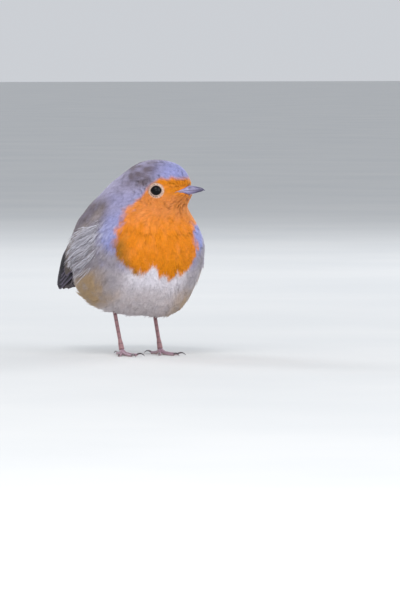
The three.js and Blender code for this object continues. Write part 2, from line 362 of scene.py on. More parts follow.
def coat_depth(points: Array) -> Array:
    """How deep the skin lies under the coat: deep on the fluffed body, thin on the face.

    Args:
        points: Places, in the bird's own millimetres.

    Returns:
        Depths in millimetres.
    """
    side, ahead, up = HEAD.within(points)
    body = 1.6 + 0.9 * smooth(54, 34, points[..., 2])
    head = 1.5 - 0.6 * smooth(-2, 9, ahead)
    share = smooth(-14, -3, up)
    depth = body + (head - body) * share
    depth = depth + (0.8 - depth) * smooth(6.5, 3.4, eye_distance(points))
    return depth + (2.3 - depth) * bare_bill(points)


def lie(points: Array, normals: Array) -> Array:
    """The way that the plumage points at places on the coat, in the surface.

    Args:
        points: Places on the coat.
        normals: The way out of the coat at each.

    Returns:
        Directions.
    """
    side, ahead, up = HEAD.within(points)
    from_bill = unit(points - HEAD.out(0, 19.0, 1.2))
    steep = 0.5 + 1.1 * smooth(2, -22, points[..., 1])
    low_rear = smooth(44, 26, points[..., 2]) * smooth(-4, 16, points[..., 1])
    steep = steep + (-0.45 - steep) * low_rear
    down_back = np.stack([np.zeros_like(steep), np.ones_like(steep), -steep], -1)
    none = np.zeros_like(steep)
    outward = np.stack([np.sign(points[..., 0]) * 0.22, none, none], -1)
    body = unit(down_back + outward * smooth(4, 16, np.abs(points[..., 0]))[..., None])
    on_head = smooth(-17, -6, up)[..., None]
    return across(body * (1 - on_head) + from_bill * on_head, normals)


# ---------- Markings ----------


class Tone:
    """The plumage's colours, as linear values."""

    ORANGE = linear(232, 130, 16)
    ORANGE_PALE = linear(240, 144, 76)
    ORANGE_DEEP = linear(224, 128, 0)
    # painted shade on the lower edge of the orange, on the bird's right
    ORANGE_SHADE = linear(164, 106, 28)
    LILAC = linear(166, 160, 192)
    BLUE = linear(146, 152, 212)
    SILVER = linear(226, 224, 238)
    SMOKE = linear(160, 152, 160)
    BROWN = linear(104, 92, 100)
    OLIVE = linear(128, 116, 98)
    WHITE = linear(236, 230, 240)
    PALE_GREY = linear(218, 208, 214)
    BUFF = linear(188, 156, 118)
    CREAM = linear(200, 184, 172)
    RING = linear(234, 202, 184)
    WING = linear(106, 92, 84)
    WING_EDGE = linear(168, 156, 160)
    WING_DARK = linear(24, 19, 27)
    WING_RIM = linear(118, 108, 128)
    TAIL = linear(84, 72, 66)
    # painted shade: near-black for the tail's shaded underside; the tail's own brown is the colour
    # above
    TAIL_SHADED = linear(32, 26, 33)


class Bare:
    """The colours of eyes, lids, bill and legs, as linear values."""

    PUPIL = linear(4, 4, 6)
    IRIS = linear(30, 18, 14)
    LID_INSIDE = linear(60, 48, 48)
    LID = linear(206, 178, 160)
    # the horn at the root with a painted sky reflection
    BILL_ROOT_SKY_REFLECTION = linear(150, 146, 190)
    BILL_TIP = linear(74, 70, 100)
    # dark ridge of the upper half, and painted shade under the lower half
    BILL_RIDGE_AND_SHADE = linear(50, 46, 68)
    LIP_ROOT = linear(222, 192, 170)
    LIP_TIP = linear(150, 140, 164)
    # painted shade in the nostril's opening
    NOSTRIL_SHADE = linear(20, 18, 24)
    SHANK = linear(170, 130, 130)
    SHANK_FRONT = linear(140, 104, 108)
    SHANK_SEAM = linear(84, 62, 66)
    TOE = linear(166, 136, 150)
    TOE_PAD = linear(190, 166, 164)
    TOE_SEAM = linear(90, 70, 82)
    CLAW_ROOT = linear(104, 86, 92)
    CLAW_TIP = linear(44, 38, 44)


FINE, BROAD, STREAK = Grain(2.4, 11), Grain(9.0, 12), Grain(1.0, 13)

# Heights on the head, and how far ahead of its middle the orange ends at each.
FACE_BORDER = ((-13, -6.6, -1.1, 4.3, 7.3), (-10.5, -5.6, 0.2, 4.4, 7.9))
# Heights over the floor, and half the width of the orange at each.
BREAST_BORDER = (
    (36, 40.4, 45.5, 52, 57.7, 61.7, 67.4),
    (13.5, 17.2, 19.2, 19.0, 18.0, 16.8, 13.8),
)


def bib_depth(points: Array) -> Array:
    """How far places lie inside the orange of face, throat and breast.

    Args:
        points: Places, in the bird's own millimetres.

    Returns:
        Millimetres, negative outside the orange.
    """
    side, ahead, up = HEAD.within(points)
    x, y, z = (points[..., k] for k in range(3))
    from_nape = np.minimum(ahead - np.interp(up, *FACE_BORDER), 6.8 - up)
    face = np.minimum(from_nape, np.minimum(14 + up, 17.5 - np.abs(side)))
    half_width = np.interp(z, *BREAST_BORDER)
    off = np.abs(x + 0.9)
    low_edge = 35.9 + 5.0 * bell(x, -4.4, 3.0) + 0.06 * np.maximum(off - 6, 0) ** 2
    chest = np.minimum(np.minimum(half_width - off, z - low_edge), 68.5 - z)
    return np.maximum(face, np.where(y < 2, chest, -20.0))


def orange(points: Array) -> Array:
    """The orange, from pale on the throat to ochre at its lower edge, with painted shade on that edge
    on the bird's right.

    Args:
        points: Places, in the bird's own millimetres.

    Returns:
        One linear colour for each place.
    """
    side, ahead, up = HEAD.within(points)
    x, z = points[..., 0], points[..., 2]
    fine, broad = FINE(points), BROAD(points)
    throat = smooth(54, 68, z) * 0.75 + 0.18 * fine
    colour = laid(Tone.ORANGE, Tone.ORANGE_PALE, throat)
    breast = smooth(49, 39, z) * (0.75 + 0.3 * broad)
    colour = laid(colour, Tone.ORANGE_DEEP, breast)
    # Painted shade: the lower edge of the orange is darkened on the bird's right side only.
    edge = smooth(6.0, 0.5, bib_depth(points)) * smooth(58, 48, z) * smooth(-5, -13, x)
    colour = laid(colour, Tone.ORANGE_SHADE, edge * (0.8 + 0.5 * fine))
    lore = smooth(2.5, 5.5, up) * smooth(3, 7, ahead) + 0.9 * bell(up, 1.5, 2.5) * smooth(7, 11, ahead)
    return mix(colour, Tone.ORANGE_DEEP, np.clip(lore, 0, 0.9))


def upper_parts(points: Array) -> Array:
    """Crown, neck, back and wings' shoulders: lilac-grey in front, olive-brown behind.

    Args:
        points: Places, in the bird's own millimetres.

    Returns:
        One linear colour for each place.
    """
    side, ahead, up = HEAD.within(points)
    x, y, z = (points[..., k] for k in range(3))
    fine, broad = FINE(points), BROAD(points)
    behind = smooth(2, 22, y) * 0.85 + 0.15 * broad
    colour = laid(Tone.LILAC, Tone.OLIVE, behind)
    shoulder = smooth(-13, -6, y) * smooth(13, 18, np.abs(x)) * smooth(74, 68, z)
    colour = laid(colour, Tone.BROWN, shoulder * (0.85 + 0.15 * fine))
    bar = shoulder * bell(z + 0.6 * y, 61, 3.5) * (0.22 + 0.3 * broad)
    colour = laid(colour, Tone.CREAM, bar)
    cap = smooth(1.0, 6.0, up) * smooth(13, 0, ahead) * smooth(-16, -6, ahead)
    colour = mix(colour, Tone.BROWN, np.clip(cap * (0.6 + 0.4 * fine + 0.2 * broad), 0, 0.9))
    return mix(colour, Tone.BLUE, smooth(0, 12, ahead) * smooth(4, 9, up) * 0.8)


def under_parts(points: Array) -> Array:
    """Belly and flanks: white in the middle, grey-lilac beside it, buff low on the flanks and behind.

    Args:
        points: Places, in the bird's own millimetres.

    Returns:
        One linear colour for each place.
    """
    x, y, z = (points[..., k] for k in range(3))
    fine, broad = FINE(points), BROAD(points)
    beside = np.abs(x + 1.5 - 0.12 * (z - 36))
    grey = smooth(8, 20, beside) + smooth(36, 27, z) * 0.6 + 0.15 * broad
    colour = laid(Tone.WHITE, Tone.PALE_GREY, grey)
    colour = laid(colour, Tone.SMOKE, smooth(11, 19, beside) * (0.72 + 0.15 * fine))
    buff = smooth(-16, 0, y) * smooth(15, 23, np.abs(x) + 0.25 * y) * smooth(46, 37, z)
    low = smooth(33, 25, z) * (0.18 + 0.5 * smooth(10, 18, beside))
    colour = laid(colour, Tone.BUFF, np.maximum(buff, low) * (0.95 + 0.25 * fine))
    return mix(colour, Tone.CREAM, smooth(20, 32, y) * 0.8)


def plumage_colour(points: Array) -> Array:
    """The plumage's colour at places on the bird, as linear values.

    Args:
        points: Places, in the bird's own millimetres.

    Returns:
        One linear colour for each place.
    """
    x, y, z = (points[..., k] for k in range(3))
    up = HEAD.within(points)[2]
    fine, broad, streak = FINE(points), BROAD(points), STREAK(points)
    uneven = 0.35 + 0.65 * smooth(1, -8, up)
    inside = bib_depth(points) + (1.0 * fine + 0.6 * broad + 0.35 * streak) * uneven
    colour = upper_parts(points)
    silver = bell(z + 0.3 * y, 51, 7) * smooth(17, 22, np.abs(x)) * smooth(14, 4, y)
    colour = laid(colour, Tone.SILVER, silver * (0.55 + 0.5 * streak))
    smoke = smooth(52, 44, z + 0.25 * y) * smooth(16, 21, np.abs(x))
    colour = laid(colour, Tone.SMOKE, smoke * (0.8 + 0.3 * fine))
    below = smooth(42, 36, z + 0.3 * np.maximum(y, -12) - 0.14 * np.maximum(np.abs(x) - 12, 0) + 3.6)
    front = smooth(-2.5, 0.5, 42 - z) * smooth(18, 12, np.abs(x)) * (y < 0)
    below = np.maximum(below, front)
    colour = mix(colour, under_parts(points), below)
    band = smooth(-8.5, -2.5, inside) * smooth(44, 50, z) * smooth(-5, -11, y)
    band = band * (0.3 + 0.7 * smooth(68, 62, z)) * np.clip(0.8 + 0.2 * broad, 0, 1)
    colour = mix(colour, Tone.BLUE, band * smooth(3.5, -1.0, up))
    colour = mix(colour, orange(points), smooth(-1.3, 1.2, inside))
    ring = smooth(3.9, 3.4, eye_distance(points) + 0.12 * fine)
    colour = mix(colour, Tone.RING, ring * 0.9)
    return colour * (1 + 0.06 * streak + 0.04 * fine)[..., None]


# ---------- Meshes, materials and pieces ----------


@dataclass
class Stage:
    """Where the bird's own millimetres lie in the frame."""

    shift: Array

    @classmethod
    def from_frame(cls) -> Stage:
        """Finds the shift by the place of the left eye's solid.

        Returns:
            The stage.
        """
        low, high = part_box("eye_left")
        middle = (np.array(low) + np.array(high)) / 2 / MM
        return cls(middle - EYE_MIDDLES[1])

    def metres(self, points: Array) -> Array:
        """Bird millimetres as frame metres."""
        return (points + self.shift) * MM

    def millimetres(self, points: Array) -> Array:
        """Frame metres as bird millimetres."""
        return points / MM - self.shift


class Value:
    """A socket that can be used in Python sums, each of which adds its Math node."""

    def __init__(self, finish: Finish, socket: Any) -> None:
        """Holds a socket of a finish's node tree."""
        self.finish, self.socket = finish, socket

    def _with(self, operation: str, *terms: Any) -> Value:
        """A Math node of this operation on the terms."""
        return self.finish.node("ShaderNodeMath", {"operation": operation}, dict(enumerate(terms)))

    def __add__(self, other: Any) -> Value:
        """The sum."""
        return self._with("ADD", self, other)

    __radd__ = __add__

    def __sub__(self, other: Any) -> Value:
        """The difference."""
        return self._with("SUBTRACT", self, other)

    def __rsub__(self, other: Any) -> Value:
        """The difference, the other way round."""
        return self._with("SUBTRACT", other, self)

    def __mul__(self, other: Any) -> Value:
        """The product."""
        return self._with("MULTIPLY", self, other)

    __rmul__ = __mul__

    def wave(self) -> Value:
        """The sine."""
        return self._with("SINE", self)

    def size(self) -> Value:
        """The absolute value."""
        return self._with("ABSOLUTE", self)


class Finish:
    """A material on a Principled shader, built by expressions on its sockets."""

    def __init__(self, name: str, roughness: float = 0.5, **settings: Any) -> None:
        """Starts the material.

        Args:
            name: The material's name.
            roughness: The shader's roughness.
            settings: Further sockets of the shader, with spaces as underscores.
        """
        self.material = bpy.data.materials.new(name)
        self.material.use_nodes = True
        self.tree = self.material.node_tree
        self.shader = self.tree.nodes["Principled BSDF"]
        self.shader.inputs["Roughness"].default_value = roughness
        for key, value in settings.items():
            self.shader.inputs[key.replace("_", " ")].default_value = value

    def node(
        self, kind: str, settings: dict[str, Any], values: dict[Any, Any], output: Any = 0
    ) -> Value:
        """Adds any node.

        Args:
            kind: The node's type.
            settings: Properties that are set first.
            values: What each input socket holds, by name or number: a number, a colour or a Value.
            output: The output wanted, by name or number.

        Returns:
            The output as a Value.
        """
        made = self.tree.nodes.new(kind)
        for key, value in settings.items():
            setattr(made, key, value)
        for key, value in values.items():
            self.feed(made.inputs[key], value)
        return Value(self, made.outputs[output])

    def feed(self, socket: Any, value: Any) -> None:
        """Links a Value to a socket, or sets the socket to a number or colour.

        Args:
            socket: The input socket.
            value: What it is to hold.
        """
        if isinstance(value, Value):
            self.tree.links.new(value.socket, socket)
        elif hasattr(value, "__len__") and len(value) == 3 and socket.type == "RGBA":
            socket.default_value = (*[float(v) for v in value], 1.0)
        else:
            socket.default_value = value

    def ramp(self, value: Value, stops: Sequence[tuple[float, Array]]) -> Value:
        """Colours along a value.

        Args:
            value: Where along the ramp to look.
            stops: Pairs of a place and the colour there.

        Returns:
            The colour.
        """
        made = self.node("ShaderNodeValToRGB", {}, {"Fac": value}, "Color")
        elements = made.socket.node.color_ramp.elements
        while len(elements) < len(stops):
            elements.new(1.0)
        for element, (place, colour) in zip(elements, stops):
            element.position = place
            element.color = (*[float(c) for c in colour], 1.0)
        return made

    def blend(self, share: Any, a: Any, b: Any, way: str = "MIX") -> Value:
        """Colours a and b mixed by a share.

        Args:
            share: How much of b.
            a: A colour.
            b: Another colour.
            way: How b is laid on a.

        Returns:
            The mixed colour.
        """
        made = self.tree.nodes.new("ShaderNodeMix")
        made.data_type, made.blend_type = "RGBA", way
        for key, value in ((0, share), (6, a), (7, b)):
            self.feed(made.inputs[key], value)
        return Value(self, made.outputs[2])

    def place(self) -> Value:
        """Object coordinates."""
        return self.node("ShaderNodeTexCoord", {}, {}, "Object")

    def tint(self) -> Value:
        """The colour that the mesh carries."""
        return self.node("ShaderNodeAttribute", {"attribute_name": "Tint"}, {}, "Color")

    def noise(self, scale: float, detail: float = 3.0) -> Value:
        """Noise of so many blotches to a metre."""
        values = {"Vector": self.place(), "Scale": scale, "Detail": detail}
        return self.node("ShaderNodeTexNoise", {}, values, "Fac")

    def bump(self, height: Value, strength: float, distance: float) -> None:
        """Raises the surface.

        Args:
            height: How high each place is, from 0 to 1.
            strength: How much of it shows.
            distance: How far 1 is, in metres.
        """
        values = {"Height": height, "Strength": strength, "Distance": distance}
        normal = self.node("ShaderNodeBump", {}, values, "Normal")
        self.feed(self.shader.inputs["Normal"], normal)

    def colour(self, value: Any) -> None:
        """Sets the base colour."""
        self.feed(self.shader.inputs["Base Color"], value)


def side_word(side: int) -> str:
    """The word for a side in names: 1 is left, -1 right."""
    return "left" if side > 0 else "right"


def clear_selection() -> None:
    """Leaves nothing selected."""
    bpy.ops.object.select_all(action="DESELECT")


def choose(*objects: bpy.types.Object) -> bpy.types.Object:
    """Selects only these objects and makes the first one active.

    Args:
        objects: The objects.

    Returns:
        The first one.
    """
    clear_selection()
    for obj in objects:
        obj.select_set(True)
    bpy.context.view_layer.objects.active = objects[0]
    return objects[0]


def join(objects: Sequence[bpy.types.Object]) -> bpy.types.Object:
    """Joins objects into the first one.

    Args:
        objects: The objects, which become one.

    Returns:
        The first one.
    """
    choose(*objects)
    if len(objects) > 1:
        bpy.ops.object.join()
    return objects[0]


def apply_modifier(obj: bpy.types.Object, kind: str, **settings: Any) -> None:
    """Adds a modifier, sets it and applies it.

    Args:
        obj: The object.
        kind: The modifier's type.
        settings: Its settings by name.
    """
    choose(obj)
    modifier = obj.modifiers.new(kind.title(), kind)
    for key, value in settings.items():
        setattr(modifier, key, value)
    bpy.ops.object.modifier_apply(modifier=modifier.name)


def vertices(obj: bpy.types.Object) -> Array:
    """A mesh's vertices, in metres.

    Args:
        obj: The object.

    Returns:
        Rows of three numbers.
    """
    out = np.empty(len(obj.data.vertices) * 3)
    obj.data.vertices.foreach_get("co", out)
    return out.reshape(-1, 3)


def set_vertices(obj: bpy.types.Object, places: Array) -> None:
    """Moves a mesh's vertices to places in metres."""
    obj.data.vertices.foreach_set("co", np.ascontiguousarray(places, float).ravel())
    obj.data.update()


def set_tint(mesh: bpy.types.Mesh, colours: Array) -> None:
    """Gives a mesh one colour at each vertex.

    Args:
        mesh: The mesh.
        colours: Rows of three linear values.
    """
    layer = mesh.color_attributes.new("Tint", "FLOAT_COLOR", "POINT")
    full = np.concatenate([np.clip(colours, 0, 1), np.ones((len(colours), 1))], axis=1)
    layer.data.foreach_set("color", full.astype(np.float32).ravel())


def mesh_object(
    name: str,
    points: Array,
    faces: Array,
    colours: Array,
    uv: dict[str, Array],
    normals: Array | None = None,
) -> bpy.types.Object:
    """Makes an object from arrays.

    Args:
        name: The object's name.
        points: Vertices in metres.
        faces: Triangles or quads, as rows of vertex numbers.
        colours: One colour at each vertex.
        uv: Maps by name, each with a place for each vertex.
        normals: The way that light falls on each vertex, or None for the mesh's own.

    Returns:
        The new object, smooth shaded.
    """
    mesh = bpy.data.meshes.new(name)
    sides = faces.shape[1]
    mesh.vertices.add(len(points))
    mesh.vertices.foreach_set("co", np.ascontiguousarray(points, np.float32).ravel())
    mesh.loops.add(faces.size)
    mesh.loops.foreach_set("vertex_index", np.ascontiguousarray(faces, np.int32).ravel())
    mesh.polygons.add(len(faces))
    mesh.polygons.foreach_set("loop_start", np.arange(0, faces.size, sides, dtype=np.int32))
    mesh.polygons.foreach_set("use_smooth", np.ones(len(faces), bool))
    mesh.update(calc_edges=True)
    mesh.validate()
    set_tint(mesh, colours)
    for key, places in uv.items():
        layer = mesh.uv_layers.new(name=key)
        corners = np.ascontiguousarray(places[faces.ravel()], np.float32)
        layer.data.foreach_set("uv", corners.ravel())
    if normals is not None:
        mesh.normals_split_custom_set_from_vertices(normals.tolist())
    obj = bpy.data.objects.new(name, mesh)
    bpy.context.scene.collection.objects.link(obj)
    return obj


def finished(
    obj: bpy.types.Object, name: str, finish: Finish, replaced: Iterable[str] = ()
) -> bpy.types.Object:
    """Args:
        obj: The piece's object.
        name: Its name.
        finish: Its finish.
        replaced: CAD nodes that it stands for.

    Returns:
        The same object.
    """
    obj.name = obj.data.name = name
    obj.data.materials.clear()
    obj.data.materials.append(finish.material)
    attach(obj, BODY)
    nodes = list(replaced)
    if nodes:
        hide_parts(*nodes)
    log.info("%s: %d faces", name, len(obj.data.polygons))
    return obj


# ---------- Skin ----------


@dataclass
class Skin:
    """One closed skin under the plumage of head, neck, trunk and rump."""

    stage: Stage
    voxel: float = 0.75

    def ball(self, middle: Array) -> bpy.types.Object:
        """A ball of even triangles about a middle, drawn out to the skin.

        Args:
            middle: Where the ball's rays start.

        Returns:
            The ball.
        """
        clear_selection()
        bpy.ops.mesh.primitive_ico_sphere_add(subdivisions=6, radius=1.0)
        ball = bpy.context.active_object
        points = COAT.cast(middle, unit(vertices(ball)), coat_depth)
        set_vertices(ball, self.stage.metres(points))
        return ball

    def build(self, finish: Finish) -> bpy.types.Object:
        """Joins the balls, makes them one surface and colours it as the plumage.

        Args:
            finish: The finish.

        Returns:
            The finished piece.
        """
        skin = join([self.ball(TRUNK_MIDDLE), self.ball(np.array(HEAD.at))])
        apply_modifier(skin, "REMESH", mode="VOXEL", voxel_size=self.voxel * MM, use_smooth_shade=True)
        apply_modifier(skin, "SMOOTH", factor=0.5, iterations=4)
        set_tint(skin.data, plumage_colour(self.stage.millimetres(vertices(skin))))
        return finished(skin, "skin", finish, ("head", "neck", "trunk", "rump"))


# ---------- Feathers of the body ----------


@dataclass(frozen=True)
class Tract:
    """One area of the plumage and how its feathers grow.

    Sizes are in millimetres: the gap between roots, a feather's length and half-width, and how
    thick a lock is. Barbs is how many locks a feather has, lift how far its tip stands off the
    surface, ragged how uneven its locks are, and silver the share of locks that are silvery.
    """

    name: str
    gap: float
    length: float
    half_width: float
    barbs: int
    lift: float
    ragged: float
    thick: float
    silver: float = 0.0


class Area(Enum):
    """The tracts of the body's plumage, each a piece of its own."""

    FACE = Tract("plumage_face", 0.75, 3.0, 0.85, 11, 0.03, 0.18, 0.125)
    CROWN = Tract("plumage_crown", 1.15, 5.6, 1.25, 13, 0.08, 0.3, 0.14)
    THROAT = Tract("plumage_throat", 1.12, 6.8, 1.7, 17, 0.05, 0.2, 0.16)
    NAPE = Tract("plumage_nape", 1.45, 9.5, 2.2, 20, 0.12, 0.25, 0.18)
    BREAST = Tract("plumage_breast", 1.5, 10.0, 2.5, 23, 0.08, 0.28, 0.17)
    SIDES = Tract("plumage_sides", 1.8, 13.0, 2.4, 23, 0.35, 0.4, 0.17)
    BELLY = Tract("plumage_belly", 1.85, 12.5, 2.8, 24, 0.22, 0.35, 0.18)
    VENT = Tract("plumage_vent", 1.85, 12.5, 2.8, 24, 0.22, 0.35, 0.18)
    BACK = Tract("plumage_back", 1.9, 11.5, 2.6, 23, 0.16, 0.25, 0.19)
    RUMP = Tract("plumage_rump", 2.0, 13.0, 2.8, 24, 0.3, 0.3, 0.19)


AREAS = list(Area)


def area_of(points: Array) -> Array:
    """The number of the tract that each place on the coat belongs to.

    Args:
        points: Places, in the bird's own millimetres.

    Returns:
        Numbers in AREAS.
    """
    side, ahead, up = HEAD.within(points)
    x, y, z = (points[..., k] for k in range(3))
    index = {area: k for k, area in enumerate(AREAS)}
    out = np.full(points.shape[:-1], index[Area.SIDES])
    out = np.where((np.abs(x) < 19.5) & (y < -4), index[Area.BREAST], out)
    out = np.where(z < 38 - 0.1 * y, np.where(y < 5, index[Area.BELLY], index[Area.VENT]), out)
    out = np.where((z > 60 - 0.45 * y) & (z > 44), index[Area.BACK], out)
    out = np.where((y > 26) & (z > 38), index[Area.RUMP], out)
    out = np.where((up > -11) & (z > 57) & (ahead > -21), index[Area.NAPE], out)
    out = np.where((up > -13) & (ahead > -3) & (z > 56), index[Area.THROAT], out)
    out = np.where((up > 1.5) & (ahead > -9), index[Area.CROWN], out)
    near_eye = np.linalg.norm(np.stack([ahead - 6.1, up - 1.5], -1), axis=-1) < 6.0
    on_face = (up > -5) & ((ahead > 10.0) | near_eye & (ahead > 0))
    return np.where(on_face, index[Area.FACE], out)


@dataclass
class Roots:
    """Places on the skin where feathers grow: the place on the coat above each and its tract."""

    points: Array
    normals: Array
    areas: Array


ROOT_TRIES, TRUNK_TRIES = 100000, 60000  # how many places are tried, and how many on the trunk
HEAD_ROOTS_FROM, TRUNK_ROOTS_TO = -13, -6  # heights from the head's middle, which overlap


def scatter_roots(wings: Sequence[FoldedWing], rng: np.random.Generator) -> Roots:
    """Spreads roots over the coat, no closer than their tract's gap.

    Args:
        wings: The folded wings, under which nothing grows.
        rng: The random numbers to use.

    Returns:
        The roots.
    """

    def no_depth(points: Array) -> Array:
        """No depth at all: the coat's own surface."""
        return np.zeros(len(points))

    ways = unit(rng.normal(size=(ROOT_TRIES, 3)))
    from_trunk = COAT.cast(TRUNK_MIDDLE, ways[:TRUNK_TRIES], no_depth)
    from_head = COAT.cast(np.array(HEAD.at), ways[TRUNK_TRIES:], no_depth)
    from_head = from_head[HEAD.within(from_head)[2] > HEAD_ROOTS_FROM]
    from_trunk = from_trunk[HEAD.within(from_trunk)[2] <= TRUNK_ROOTS_TO]
    points = np.concatenate([from_head, from_trunk])
    points = points[rng.permutation(len(points))]
    keep = (eye_distance(points) > EYE_RADIUS + 0.3) & (bare_bill(points) < 0.5)
    for wing in wings:
        keep &= wing.cover(points) < 0.5
    points = points[keep]
    normals = COAT.probe(points)[1]
    areas = area_of(points + rng.normal(0, 0.9, points.shape))
    gaps = np.array([area.value.gap for area in AREAS])[areas]
    cell = max(area.value.gap for area in AREAS)
    taken: dict[tuple[int, int, int], list[int]] = {}
    chosen: list[int] = []
    steps = [(i, j, k) for i in (-1, 0, 1) for j in (-1, 0, 1) for k in (-1, 0, 1)]
    for i, (x, y, z) in enumerate(np.floor(points / cell).astype(int).tolist()):
        near = [j for dx, dy, dz in steps for j in taken.get((x + dx, y + dy, z + dz), ())]
        if near and np.min(np.sum((points[near] - points[i]) ** 2, axis=1)) < gaps[i] ** 2:
            continue
        taken.setdefault((x, y, z), []).append(i)
        chosen.append(i)
    return Roots(points[chosen], normals[chosen], areas[chosen])


def unwrap(points: Array) -> Array:
    """Places on an unwrap of the skin about the trunk's middle, from 0 to 1 each way and equal in area.

    Args:
        points: Places on the skin.

    Returns:
        Pairs of numbers from 0 to 1.
    """
    way = unit(points - np.array([0.0, 4.0, 48.0]))
    turn = np.arctan2(way[..., 0], -way[..., 1]) / (2 * math.pi) + 0.5
    return np.stack([0.02 + 0.96 * turn, 0.02 + 0.96 * (way[..., 2] + 1) / 2], -1)


